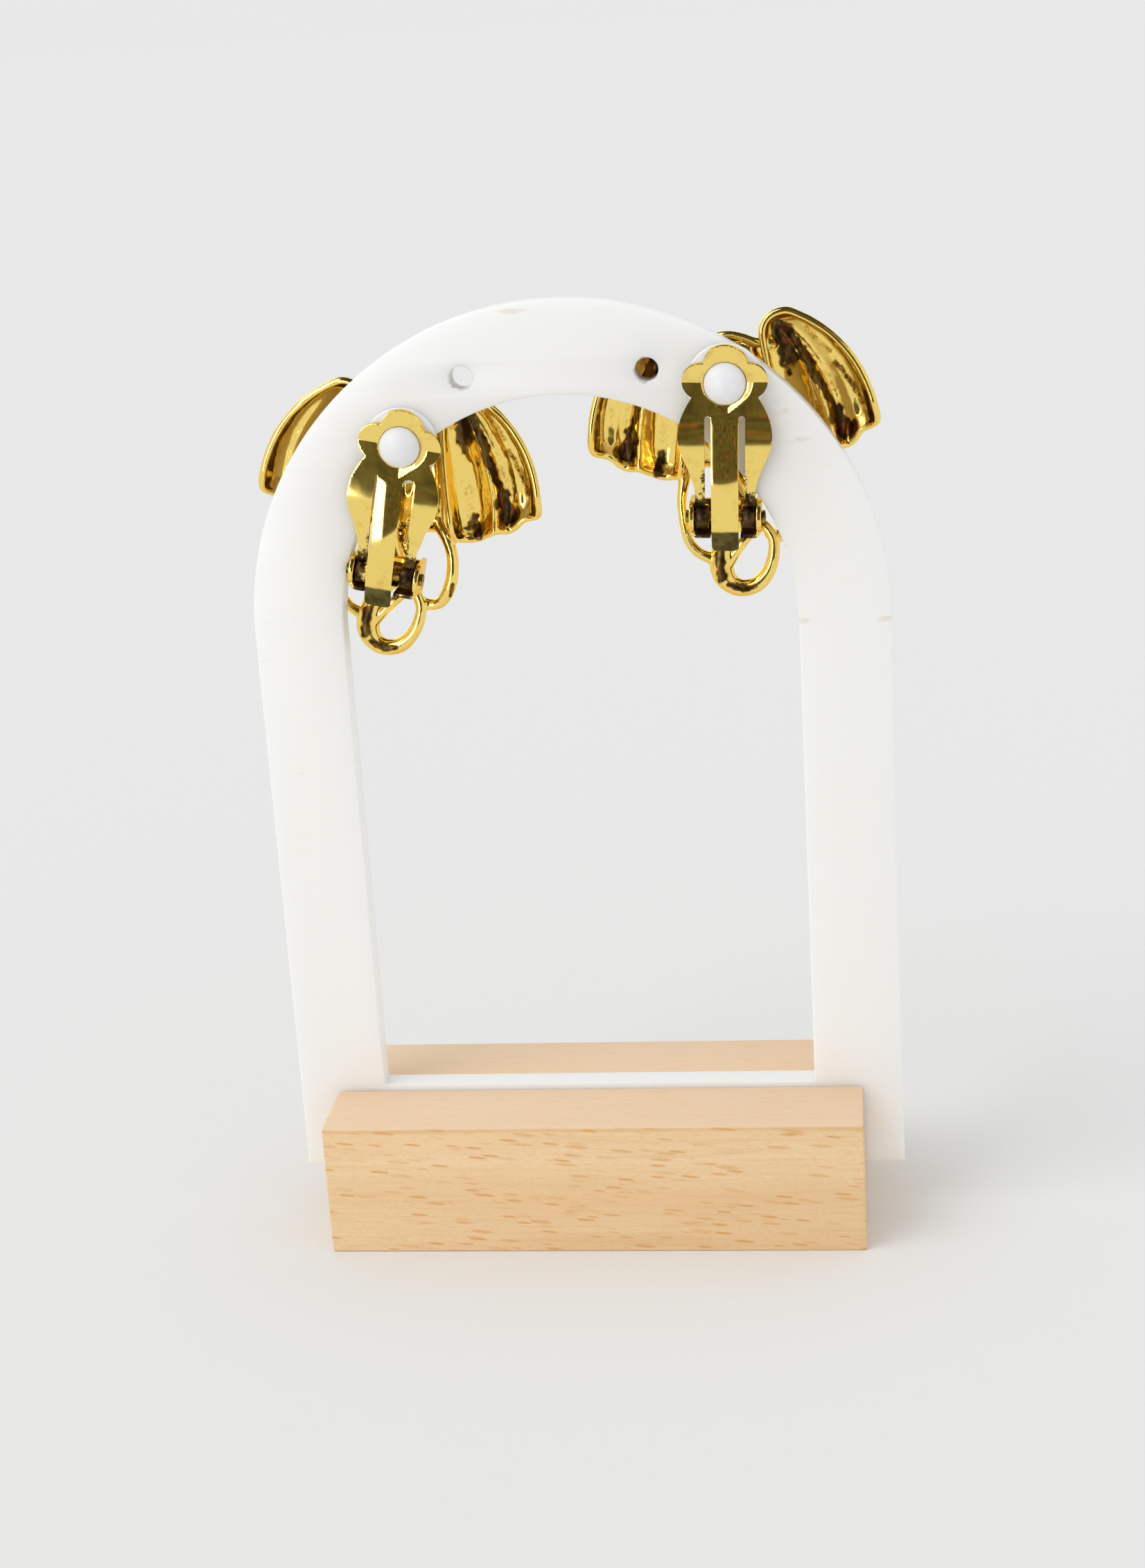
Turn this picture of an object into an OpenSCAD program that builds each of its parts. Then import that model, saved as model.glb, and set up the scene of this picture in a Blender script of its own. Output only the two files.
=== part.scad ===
// Pair of antique gold bow clip on earrings, clipped on a small arch display stand.
// Millimetres, +Z up. The origin is the centre of the wooden block's underside.
// The panel stands in the XZ plane. The paddles are on its -Y side, the bows on its +Y side.

/* [Wooden block] */
// Length of the block along the panel
block_l = 61; // [58:1:66]
// Depth of the block from front to back
block_d = 24; // [20:1:30]
// Height of the block
block_h = 15.4; // [12:0.1:16]
// Radius of the block's worn edges
block_edge_r = 0.5; // [0.2:0.1:1]

/* [Arch panel] */
// Outer half width of the arch, which is also its outer radius
arch_r = 35; // [34:0.5:37]
// Inner radius of the arch
arch_inner_r = 25; // [24.95:0.05:25.2]
// Thickness of the acrylic sheet
panel_t = 3; // [2.8:0.1:3]
// Height of the arch's centre above the table
arch_z = 70.6; // [70.4:0.1:70.8]
// Height of the top edge of the bottom crossbar
crossbar_top_z = 16.1; // [16:0.1:18]
// Height of the panel's bottom edge, inside the block's slot
panel_bottom_z = 5.9; // [4:0.1:9]
// Radius of the two small holes in the arch
post_hole_r = 1.25; // [1:0.05:1.5]
// Radius from the arch's centre at which the holes lie
post_hole_ring_r = 29; // [28:0.5:31]
// Angle of each hole from the vertical
post_hole_angle = 20; // [15:1:22]

/* [Clip] */
// Thickness of the stamped paddle
paddle_t = 0.45; // [0.4:0.05:0.5]
// Radius of the hole that holds the pad
pad_hole_r = 2.28; // [2.25:0.01:2.35]
// Radius of the pad's disc behind the paddle
pad_disc_r = 4.1; // [3.8:0.1:4.3]
// Thickness of the pad's disc
pad_disc_t = 0.85; // [0.7:0.05:0.9]
// Radius of the pad's dome in front of the paddle
pad_dome_r = 2.2; // [2:0.05:2.22]
// Height of the dome above the paddle's face
pad_dome_h = 1.2; // [0.8:0.1:1.6]
// Width of the spring tongue between the two slots
tongue_w = 2.9; // [2.6:0.1:3]
// Width between the two arms' inner edges
arm_gap = 4.3; // [4.2:0.1:4.6]
// Radius of the hinge pin
pin_r = 0.55; // [0.5:0.01:0.56]
// Radial running clearance round the pin
pin_clearance = 0.05; // [0.03:0.01:0.08]
// Radius of the rolled barrels at the arms' ends
barrel_r = 1.3; // [1.1:0.05:1.35]
// Outer half width across the bracket's ears
ear_outer = 3.85; // [3.8:0.05:3.85]
// Thickness of each ear
ear_t = 0.55; // [0.45:0.05:0.55]

/* [Bow] */
// Depth of the deepest valley behind a wing's rim
wing_depth = 3.6; // [3:0.1:4]
// Wall of a wing
wing_wall = 1.1; // [0.9:0.1:1.4]
// Columns of faces across a wing
wing_columns = 17; // [12:1:22]
// Rows of faces from a wing's top to its bottom edge
wing_rows = 12; // [10:1:16]
// Sides of the cast wires
wire_sides = 8; // [6:1:10]

/* [Hidden] */

wood_colour = [0.90, 0.74, 0.56];
acrylic_colour = [0.95, 0.95, 0.93];
gold_colour = [0.80, 0.64, 0.22];
pad_colour = [0.97, 0.97, 0.96];

// Gap between pieces that seat in each other
seat_gap = 0.05;
slot_w = panel_t + 2 * seat_gap;
panel_front = -panel_t / 2;
panel_back = panel_t / 2;

// Places in the XZ plane: x, z, turn. A positive turn leans the top to the left.
left_clip_place = [-16.85, 90.98, -12.1];
right_clip_place = [18.15, 96.2, -2.4];
left_bow_place = [-18.25, 85.0, -7.9];
right_bow_place = [18.5, 90.6, 4.0];
// Sideways set of each spring tongue, which hand use has bent a little
left_tongue_shift = -0.45;
right_tongue_shift = 0;

// The clip's own frame: origin at the pad's centre, +Z towards the flower's top
pad_back = panel_front - seat_gap;
pad_face = pad_back - pad_disc_t;
paddle_back = pad_face - seat_gap;
paddle_front = paddle_back - paddle_t;
hinge_z = -14.4;
bend_start_z = -3;
arm_drop = 1.5;
arm_bend_r = pow(hinge_z - bend_start_z, 2) / (2 * arm_drop);
hinge_y = paddle_front + arm_drop + paddle_t / 2;
pin_bore_r = pin_r + pin_clearance;
pin_head_r = 0.68;
pin_end = ear_outer + 0.15;
ear_inner = ear_outer - ear_t;
ear_r = 1.6;
bracket_floor_back = 2.1;
bracket_floor_t = 0.6;
bracket_foot = 0.8;
barrel_outer = ear_inner - 0.1;
barrel_inner = arm_gap / 2 - 0.4;
dish_r = 2.65;
dish_depth = 0.3;
dish_tail_z = -3.35;
dish_tail_x = 1.55;

// Tongue seen from the side: it rises off the plate, arcs over the pin and bends in at its end
tongue_top_z = -3.4;
tongue_rise = 0.114;
tongue_arc_r = 40;
tongue_bend_z = -15.9;
tongue_end_z = -18.2;
tongue_end_slope = 0.58;
tongue_corner_r = 0.5;

// Half outline of the paddle below the flower. Columns: z, half width
BODY_OUTLINE = [
    [-1.2, 3.3], [-1.9, 3.75], [-2.8, 4.25], [-3.8, 4.68], [-4.9, 4.92], [-5.8, 4.98],
    [-6.8, 4.86], [-7.9, 4.48], [-9.0, 3.98], [-10.2, 3.55], [-11.4, 3.25], [-12.6, 3.18],
    [-14.4, 3.18]
];
// Lobes of the flower. Columns: x, z, radius
FLOWER_LOBES = [[0, 1.75, 2.3], [-2.6, 0.25, 1.9], [2.6, 0.25, 1.9], [0, -0.6, 3.3]];

// The bow's own frame: origin between the wings, +Z up, +Y towards the bow's front
wing_rim_y = 1.78;
wing_edge_inset = 0.045;
// Corner points of the Bezier curves that a wing hangs between. Columns: x, z
WING_TOP = [[4.2, 9.5], [4.0, 12.1], [7.0, 12.0]];
WING_MID = [[4.1, 3.0], [15.2, 8.6]];
// Scalloped bottom edge. Columns: share across the wing, x, z
WING_BOTTOM = [
    [0, 5.9, -4.8], [0.12, 7.1, -5.1], [0.28, 8.6, -4.95], [0.42, 9.8, -4.3], [0.54, 10.7, -3.75],
    [0.66, 12.0, -3.75], [0.76, 12.9, -3.1], [0.84, 13.6, -2.2], [0.92, 14.8, -1.75], [1, 16.05, -0.9]
];
// Flutes seen from behind. Columns: share across the wing, share of the full depth
WING_FLUTES = [
    [0, 0], [0.08, 0.45], [0.17, 0.85], [0.28, 1], [0.4, 0.72], [0.54, 0.3],
    [0.62, 0.72], [0.71, 0.95], [0.8, 0.62], [0.86, 0.7], [0.94, 0.4], [1, 0]
];

// Cast wires and ribbon tails. Columns: x, y, z, radius
LEFT_LOOP = [
    [-5.2, 3.9, -3.2, 0.9], [-5.9, 3.3, -5.2, 0.65], [-6.4, 3, -7.6, 0.5], [-6.4, 2.9, -9.8, 0.5],
    [-6.15, 3, -11.7, 0.55], [-5.35, 3.18, -13.12, 0.6], [-4.2, 3.4, -13.95, 0.6],
    [-3.03, 3.56, -14.55, 0.77]
];
RIGHT_LOOP = [
    [4.44, 3.9, -3.01, 0.99], [5.5, 3.4, -4.8, 0.7], [6.2, 3.1, -6.7, 0.66], [6.3, 3, -8.6, 0.7],
    [6, 3.1, -10.4, 0.7], [5.2, 3.3, -11.9, 0.66], [3.9, 3.5, -12.4, 0.62], [2.7, 3.5, -12, 0.65]
];
TEAR_LOOP = [
    [0.91, 3.5, -10.26, 0.58], [2.37, 3.2, -11.07, 0.62], [3.05, 3, -12.6, 0.6], [2.85, 3, -14.4, 0.68],
    [2.15, 3.1, -16, 0.76], [0.9, 3.2, -17.3, 0.88], [-0.8, 3.3, -17.7, 0.95], [-2.2, 3.4, -17, 1.1],
    [-2.9, 3.5, -15.6, 1.3], [-2.72, 3.63, -13.98, 1.26], [-2.3, 3.86, -12.18, 1.14],
    [-1.76, 3.93, -10.45, 1.14]
];
DIAGONAL = [
    [-2.26, 3.35, -14.96, 0.71], [-1.2, 3.2, -13.6, 0.6], [-0.05, 3.04, -12.3, 0.61],
    [1.24, 3.17, -11.01, 0.62]
];
UPPER_STRAND = [
    [-2.56, 3.99, 8.59, 0.78], [-1.2, 3.6, 9.6, 0.5], [0.6, 3.3, 9.9, 0.4], [2.2, 3.2, 9.4, 0.4],
    [3.5, 3.3, 8.7, 0.5], [5, 3.8, 8.4, 0.8]
];

// The two ribbon ends that cross below the knot
FRONT_TAIL = [
    [1.69, 4.58, -3.41, 1.42], [1.2, 4.6, -5.6, 1.25], [0.23, 4.34, -7.77, 1.19], [-0.8, 4.1, -9.8, 1.1],
    [-1.7, 4, -11.4, 1.1]
];
BACK_TAIL = [
    [-1.3, 3.9, -3.2, 1.1], [-0.8, 3.6, -5.2, 0.95], [-0.1, 3.5, -7.2, 0.85], [0.65, 3.43, -8.92, 0.75],
    [1.5, 3.38, -10.57, 0.61]
];

// The knot, as three strings of balls from its foot to its top. Columns: x, y, z, radius
KNOT_LEFT = [
    [-4.9, 4.1, -3, 1], [-4.6, 4.2, -0.6, 1.3], [-4.1, 4.3, 2.2, 1.45], [-3.6, 4.3, 5.2, 1.4],
    [-2.43, 4.21, 8.01, 1.17]
];
KNOT_MIDDLE = [
    [0.9, 4.93, -3.38, 1.39], [0.5, 5.1, -0.9, 1.8], [0.1, 5.7, 2.2, 2.1], [0, 5.2, 5.4, 1.9],
    [0.02, 4.75, 8.05, 1.5]
];
KNOT_RIGHT = [
    [4.33, 4.21, -3.06, 1.17], [4.2, 4.3, -0.6, 1.4], [3.9, 4.3, 2.2, 1.5], [3.4, 4.3, 5.2, 1.45],
    [2.3, 4.2, 8, 1.2]
];
// Rows of balls that each half of the knot is hulled over, from its foot to its top
KNOT_SPANS = [[0, 1, 2], [2, 3], [3, 4]];
ball_sides = 12;
wire_steps = 2;

function mix(a, b, t) = a + (b - a) * t;
function bezier(a, b, c, t) = pow(1 - t, 2) * a + 2 * t * (1 - t) * b + t * t * c;
function spline(a, b, c, d, t) =
    0.5 * (2 * b + (c - a) * t + (2 * a - 5 * b + 4 * c - d) * t * t + (3 * b - a - 3 * c + d) * t * t * t);
function row(rows, i) = rows[max(0, min(len(rows) - 1, i))];
function smooth_rows(rows, steps) = concat(
    [for (i = [0 : len(rows) - 2], s = [0 : steps - 1])
        spline(row(rows, i - 1), rows[i], rows[i + 1], row(rows, i + 2), s / steps)],
    [rows[len(rows) - 1]]);
function column(rows, key, value) = [for (r = rows) [r[key], r[value]]];

// Place of a point of a wing in the XZ plane. u runs across the wing, v from its top to its bottom.
function wing_bottom(u) = [lookup(u, column(WING_BOTTOM, 0, 1)), lookup(u, column(WING_BOTTOM, 0, 2))];
function wing_xz(u, v) =
    bezier(bezier(WING_TOP[0], WING_TOP[1], WING_TOP[2], u), mix(WING_MID[0], WING_MID[1], u), wing_bottom(u), v);
function wing_ramp(v) = v < 0.35 ? sin(90 * v / 0.35) : mix(1, 0.8, (v - 0.35) / 0.65);
function wing_hollow(u, v) = wing_depth * lookup(u, WING_FLUTES) * wing_ramp(v);
function inset(t, edge) = edge + (1 - 2 * edge) * t;
function wing_point(u, v, edge, rise) =
    let (p = wing_xz(inset(u, edge), inset(v, edge * 0.6))) [p[0], wing_rim_y + wing_hollow(u, v) + rise, p[1]];

// Ring of points round a wire whose path stays close to the XZ plane
function wire_run(rows, i) = let (d = row(rows, i + 1) - row(rows, i - 1)) [d[0], 0, d[2]] / norm([d[0], d[2]]);
function wire_side(rows, i) = let (d = wire_run(rows, i)) [d[2], 0, -d[0]];
function wire_place(rows, i) = [rows[i][0], rows[i][1], rows[i][2]];
function wire_ring(rows, i) = [for (k = [0 : wire_sides - 1])
    let (a = 360 * k / wire_sides)
    wire_place(rows, i) + rows[i][3] * (cos(a) * wire_side(rows, i) + sin(a) * [0, 1, 0])];
function wire_tip(rows, i, way) = wire_place(rows, i) + way * 0.7 * rows[i][3] * wire_run(rows, i);

module wire(rows) {
    path = smooth_rows(rows, wire_steps);
    rings = len(path);
    n = wire_sides;
    last = (rings - 1) * n;
    points = concat([for (i = [0 : rings - 1]) each wire_ring(path, i)],
                    [wire_tip(path, 0, -1), wire_tip(path, rings - 1, 1)]);
    walls = [for (i = [0 : rings - 2], k = [0 : n - 1])
        let (a = i * n + k, b = i * n + (k + 1) % n) each [[a, b + n, b], [a, a + n, b + n]]];
    start = [for (k = [0 : n - 1]) [rings * n, k, (k + 1) % n]];
    end = [for (k = [0 : n - 1]) [rings * n + 1, last + (k + 1) % n, last + k]];
    polyhedron(points, concat(walls, start, end));
}

module wing() {
    nu = wing_columns;
    nv = wing_rows;
    count = (nu + 1) * (nv + 1);
    border = concat(
        [for (i = [0 : nu - 1]) [i, 0]], [for (j = [0 : nv - 1]) [nu, j]],
        [for (i = [nu : -1 : 1]) [i, nv]], [for (j = [nv : -1 : 1]) [0, j]]);
    back = [for (i = [0 : nu], j = [0 : nv]) wing_point(i / nu, j / nv, wing_edge_inset, 0)];
    front = [for (i = [0 : nu], j = [0 : nv]) wing_point(i / nu, j / nv, wing_edge_inset * 0.7, wing_wall)];
    edge = [for (b = border) wing_point(b[0] / nu, b[1] / nv, 0, wing_wall * 0.6)];
    n = len(border);
    at = [for (b = border) b[0] * (nv + 1) + b[1]];
    back_faces = [for (i = [0 : nu - 1], j = [0 : nv - 1])
        let (a = i * (nv + 1) + j, b = a + nv + 1) each [[a, b, b + 1], [a, b + 1, a + 1]]];
    front_faces = [for (f = back_faces) [f[2] + count, f[1] + count, f[0] + count]];
    rim_faces = [for (k = [0 : n - 1])
        let (m = (k + 1) % n, e = 2 * count + k, f = 2 * count + m)
        each [[at[k], e, f], [at[k], f, at[m]],
              [e, at[k] + count, at[m] + count], [e, at[m] + count, f]]];
    polyhedron(concat(back, front, edge), concat(back_faces, front_faces, rim_faces));
}

module ball(p) {
    translate([p[0], p[1], p[2]]) sphere(r = p[3], $fn = ball_sides);
}

module knot() {
    for (side = [KNOT_LEFT, KNOT_RIGHT], span = KNOT_SPANS)
        hull()
            for (i = span) {
                ball(side[i]);
                ball(KNOT_MIDDLE[i]);
            }
}

module casting() {
    wing();
    mirror([1, 0, 0]) wing();
    knot();
    wire(LEFT_LOOP);
    wire(RIGHT_LOOP);
    wire(TEAR_LOOP);
    wire(DIAGONAL);
    wire(UPPER_STRAND);
    wire(FRONT_TAIL);
    wire(BACK_TAIL);
}

// Cylinder along X, centred on x = 0
module x_cylinder(r, length, sides = 48) {
    rotate([0, 90, 0]) cylinder(r = r, h = length, center = true, $fn = sides);
}

// Ears and floor of the soldered bracket, seen from the side. Points: y, z
module bracket_side() {
    arc = [for (a = [90 : 12 : 270]) [hinge_y + ear_r * cos(a), hinge_z + ear_r * sin(a)]];
    foot_z = hinge_z - ear_r - bracket_foot;
    beyond = bracket_floor_back + bracket_floor_t + 1;
    polygon(concat(arc, [[bracket_floor_back, hinge_z - ear_r], [bracket_floor_back, foot_z],
                         [beyond, foot_z], [beyond, hinge_z + ear_r]]));
}

// The same bracket seen from above: a channel open towards the paddle. Points: x, y
module bracket_channel() {
    front = hinge_y - ear_r - 1;
    back = bracket_floor_back + bracket_floor_t;
    polygon([[-ear_outer, front], [-ear_inner, front], [-ear_inner, bracket_floor_back],
             [ear_inner, bracket_floor_back], [ear_inner, front], [ear_outer, front],
             [ear_outer, back], [-ear_outer, back]]);
}

module bracket() {
    difference() {
        intersection() {
            rotate([90, 0, 90]) linear_extrude(3 * ear_outer, center = true) bracket_side();
            translate([0, 0, hinge_z - 4]) linear_extrude(8) bracket_channel();
        }
        translate([0, hinge_y, hinge_z]) x_cylinder(pin_bore_r, 2 * ear_outer + 1, 24);
    }
}

module at_place(place) {
    translate([place[0], 0, place[1]]) rotate([0, -place[2], 0]) children();
}

module bow(bow_place, clip_place) {
    color(gold_colour) {
        at_place(bow_place) casting();
        at_place(clip_place) bracket();
    }
}

module hinge_pin(clip_place) {
    color(gold_colour) at_place(clip_place) translate([0, hinge_y, hinge_z]) {
        x_cylinder(pin_r, 2 * pin_end);
        for (side = [-1, 1])
            translate([side * (pin_end + ear_outer + seat_gap) / 2, 0, 0])
                x_cylinder(pin_head_r, pin_end - ear_outer - seat_gap);
    }
}

// Extrudes an outline drawn in X and Z along Y
module along_y(from_y, to_y) {
    translate([0, to_y, 0]) rotate([90, 0, 0]) linear_extrude(to_y - from_y) children();
}

module paddle_outline() {
    body = smooth_rows(BODY_OUTLINE, 2);
    for (lobe = FLOWER_LOBES) translate([lobe[0], lobe[1]]) circle(r = lobe[2], $fn = 64);
    polygon(concat([for (p = body) [p[1], p[0]]],
                   [for (i = [len(body) - 1 : -1 : 0]) [-body[i][1], body[i][0]]]));
}

// Window between the two arms, from the slots' tops to below the arms' ends
module tongue_window() {
    slot_w = (arm_gap - tongue_w) / 2;
    for (side = [-1, 1])
        translate([side * (tongue_w + slot_w) / 2, tongue_top_z - slot_w / 2])
            circle(r = slot_w / 2, $fn = 24);
    translate([-arm_gap / 2, hinge_z - 2]) square([arm_gap, tongue_top_z - slot_w / 2 - hinge_z + 2]);
}

module plate() {
    reach = 30;
    difference() {
        union() {
            intersection() {
                along_y(paddle_front, paddle_back) paddle_outline();
                translate([-reach / 2, -reach / 2, bend_start_z]) cube([reach, reach, reach]);
            }
            intersection() {
                along_y(paddle_front - 1, paddle_front + arm_drop + 1) paddle_outline();
                translate([0, paddle_front + arm_bend_r, bend_start_z]) difference() {
                    x_cylinder(arm_bend_r, reach, 360);
                    x_cylinder(arm_bend_r - paddle_t, reach + 1, 360);
                }
                translate([-reach / 2, -reach / 2, bend_start_z - reach]) cube([reach, reach, reach]);
            }
        }
        along_y(-reach, reach) tongue_window();
        along_y(-reach, reach) circle(r = pad_hole_r, $fn = 64);
        translate([0, paddle_front + dish_depth, 0]) rotate([90, 0, 0])
            cylinder(r1 = pad_hole_r, r2 = dish_r, h = dish_depth + 0.01, $fn = 64);
        along_y(paddle_front - 1, paddle_front + dish_depth)
            polygon([[-dish_tail_x, -pad_hole_r], [dish_tail_x, -pad_hole_r], [0, dish_tail_z]]);
    }
}

// The tongue's face as y over z, in the clip's frame
function tongue_y(z) =
    let (s = tongue_top_z - max(z, tongue_bend_z))
    paddle_front - tongue_rise * s + s * s / (2 * tongue_arc_r) + tongue_end_slope * max(0, tongue_bend_z - z);

module tongue_side() {
    steps = 10;
    heights = concat([for (i = [0 : steps]) mix(tongue_top_z + 0.3, tongue_bend_z, i / steps)], [tongue_end_z]);
    polygon(concat([for (z = heights) [tongue_y(z), z]],
                   [for (i = [len(heights) - 1 : -1 : 0]) [tongue_y(heights[i]) + paddle_t, heights[i]]]));
}

module tongue_outline() {
    r = tongue_corner_r;
    translate([-tongue_w / 2, tongue_end_z + r]) square([tongue_w, tongue_top_z + 0.3 - tongue_end_z - r]);
    translate([r - tongue_w / 2, tongue_end_z]) square([tongue_w - 2 * r, r]);
    for (side = [-1, 1])
        translate([side * (tongue_w / 2 - r), tongue_end_z + r]) circle(r = r, $fn = 24);
}

module tongue(shift) {
    intersection() {
        rotate([0, 90, 0]) rotate([0, 0, 90]) linear_extrude(3 * tongue_w, center = true) tongue_side();
        along_y(-10, 5) translate([shift, 0]) tongue_outline();
    }
}

module paddle(clip_place, tongue_shift) {
    color(gold_colour) at_place(clip_place) difference() {
        union() {
            plate();
            tongue(tongue_shift);
            for (side = [-1, 1])
                translate([side * (barrel_outer + barrel_inner) / 2, hinge_y, hinge_z])
                    x_cylinder(barrel_r, barrel_outer - barrel_inner);
        }
        for (side = [-1, 1])
            translate([side * (barrel_outer + barrel_inner) / 2, hinge_y, hinge_z])
                x_cylinder(pin_bore_r, barrel_outer - barrel_inner + 0.5);
    }
}

module pad(clip_place) {
    dome_h = pad_dome_h;
    dome_r = (pad_dome_r * pad_dome_r + dome_h * dome_h) / (2 * dome_h);
    neck_front = paddle_front - 0.1;
    color(pad_colour) at_place(clip_place) {
        along_y(pad_face, pad_back) circle(r = pad_disc_r, $fn = 64);
        along_y(neck_front, pad_face + 0.1) circle(r = pad_dome_r, $fn = 64);
        intersection() {
            translate([0, neck_front - dome_h + dome_r, 0]) sphere(r = dome_r, $fn = 64);
            along_y(neck_front - dome_h - 1, neck_front + 0.1) circle(r = pad_dome_r, $fn = 64);
        }
    }
}

module rounded_rectangle(w, h, r) {
    translate([-w / 2 + r, 0]) square([w - 2 * r, h]);
    translate([-w / 2, r]) square([w, h - 2 * r]);
    for (x = [-1, 1], z = [r, h - r]) translate([x * (w / 2 - r), z]) circle(r = r, $fn = 32);
}

module wood_block() {
    color(wood_colour) difference() {
        rotate([90, 0, 90]) linear_extrude(block_l, center = true)
            rounded_rectangle(block_d, block_h, block_edge_r);
        translate([-block_l, -slot_w / 2, panel_bottom_z]) cube([2 * block_l, slot_w, block_h]);
    }
}

module arch_panel() {
    leg_h = arch_z - panel_bottom_z;
    color(acrylic_colour) along_y(panel_front, panel_back) difference() {
        union() {
            translate([0, arch_z]) circle(r = arch_r, $fn = 180);
            translate([-arch_r, panel_bottom_z]) square([2 * arch_r, leg_h]);
        }
        translate([0, arch_z]) circle(r = arch_inner_r, $fn = 180);
        translate([-arch_inner_r, crossbar_top_z]) square([2 * arch_inner_r, arch_z - crossbar_top_z]);
        for (side = [-1, 1])
            translate([side * post_hole_ring_r * sin(post_hole_angle),
                       arch_z + post_hole_ring_r * cos(post_hole_angle)])
                circle(r = post_hole_r, $fn = 48);
    }
}

wood_block();
arch_panel();
bow(left_bow_place, left_clip_place);  // left_bow
hinge_pin(left_clip_place);  // left_hinge_pin
paddle(left_clip_place, left_tongue_shift);  // left_paddle
pad(left_clip_place);  // left_pad
bow(right_bow_place, right_clip_place);  // right_bow
hinge_pin(right_clip_place);  // right_hinge_pin
paddle(right_clip_place, right_tongue_shift);  // right_paddle
pad(right_clip_place);  // right_pad
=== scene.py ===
# Bow clip on earrings in antique gold, worn on a white arch that stands in a beech block.
# Lengths in the tables below are millimetres; meshes are scaled to metres as they are made.
import math

import bmesh
import bpy
import numpy as np
from mathutils import Matrix, Vector, noise


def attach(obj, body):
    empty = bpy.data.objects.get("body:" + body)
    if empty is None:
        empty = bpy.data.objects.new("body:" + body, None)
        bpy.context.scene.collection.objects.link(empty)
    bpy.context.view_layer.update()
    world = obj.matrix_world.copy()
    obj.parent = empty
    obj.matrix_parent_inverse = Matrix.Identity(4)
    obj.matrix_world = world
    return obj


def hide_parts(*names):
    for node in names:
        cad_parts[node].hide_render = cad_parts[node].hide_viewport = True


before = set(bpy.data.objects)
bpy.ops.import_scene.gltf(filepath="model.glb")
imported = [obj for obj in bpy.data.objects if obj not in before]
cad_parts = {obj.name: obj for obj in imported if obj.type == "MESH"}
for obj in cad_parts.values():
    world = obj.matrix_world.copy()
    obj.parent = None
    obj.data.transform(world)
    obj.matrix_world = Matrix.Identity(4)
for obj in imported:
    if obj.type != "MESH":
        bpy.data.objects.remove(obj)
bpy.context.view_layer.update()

MM = 0.001

# Sizes shared with the CAD model
BLOCK = (61.0, 24.0, 15.4)
ARCH_R, ARCH_INNER_R, ARCH_Z = 35.0, 25.0, 70.6
CROSSBAR_TOP, PANEL_BOTTOM, PANEL_T = 16.1, 5.9, 3.0
HOLE_R, HOLE_RING, HOLE_ANGLE = 1.25, 29.0, 20.0
LEFT_CLIP, RIGHT_CLIP = (-16.85, 90.98, -12.1), (18.15, 96.2, -2.4)
LEFT_BOW, RIGHT_BOW = (-18.25, 85.0, -7.9), (18.5, 90.6, 4.0)
LEFT_SHIFT = -0.45
PADDLE_T = 0.45
PAD_BACK, PAD_FACE = -1.55, -2.4
PADDLE_FRONT = -2.9
HINGE_Z, BEND_START_Z, ARM_DROP = -14.4, -3.0, 1.5
ARM_BEND_R = (HINGE_Z - BEND_START_Z) ** 2 / (2 * ARM_DROP)
HINGE_Y = PADDLE_FRONT + ARM_DROP + PADDLE_T / 2
WING_RIM_Y, WING_DEPTH, WING_WALL = 1.78, 3.6, 1.1
SLOT_GAP, BORE_GAP = 0.05, 0.05


# Helpers for tables, curves and places

def smooth_table(rows, at):
    """Cubic curve through a table's rows, read at the values of its first column."""
    rows = np.array(rows, float)
    x = rows[:, 0]
    slopes = np.gradient(rows[:, 1:], x, axis=0)
    at = np.clip(np.asarray(at, float), x[0], x[-1])
    i = np.clip(np.searchsorted(x, at, side="right") - 1, 0, len(x) - 2)
    step = x[i + 1] - x[i]
    t = ((at - x[i]) / step)[..., None]
    a, b = rows[i, 1:], rows[i + 1, 1:]
    ma, mb = slopes[i] * step[..., None], slopes[i + 1] * step[..., None]
    return ((2 * t**3 - 3 * t**2 + 1) * a + (t**3 - 2 * t**2 + t) * ma
            + (3 * t**2 - 2 * t**3) * b + (t**3 - t**2) * mb)


def spline_path(points, steps):
    """Catmull-Rom curve through the points, which may carry a radius as a fourth value."""
    p = np.array(points, float)
    p = np.vstack([2 * p[0] - p[1], p, 2 * p[-1] - p[-2]])
    out = []
    for i in range(1, len(p) - 2):
        for s in range(steps):
            t = s / steps
            out.append(0.5 * (2 * p[i] + (p[i + 1] - p[i - 1]) * t
                              + (2 * p[i - 1] - 5 * p[i] + 4 * p[i + 1] - p[i + 2]) * t * t
                              + (3 * p[i] - p[i - 1] - 3 * p[i + 1] + p[i + 2]) * t**3))
    out.append(p[-2])
    return np.array(out)


def spaced(points, gap):
    """Leaves out points that lie within a gap of the last one kept."""
    kept = [points[0]]
    for p in points[1:]:
        if math.dist(p[:3], kept[-1][:3]) > gap:
            kept.append(p)
    return kept


def smoothstep(a, b, x):
    t = np.clip((np.asarray(x, float) - a) / (b - a), 0, 1)
    return t * t * (3 - 2 * t)


def placed(points, place):
    """From a clip's or bow's own frame in millimetres to the row frame in metres."""
    p = np.asarray(points, float)
    t = math.radians(place[2])
    x = place[0] + p[:, 0] * math.cos(t) - p[:, 2] * math.sin(t)
    z = place[1] + p[:, 0] * math.sin(t) + p[:, 2] * math.cos(t)
    return np.stack([x, p[:, 1], z], 1) * MM


def arc(x, z, radius, angles):
    return [(x + radius * math.cos(a), z + radius * math.sin(a)) for a in angles]


def full_turn(sides):
    return [2 * math.pi * k / sides for k in range(sides)]


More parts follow.
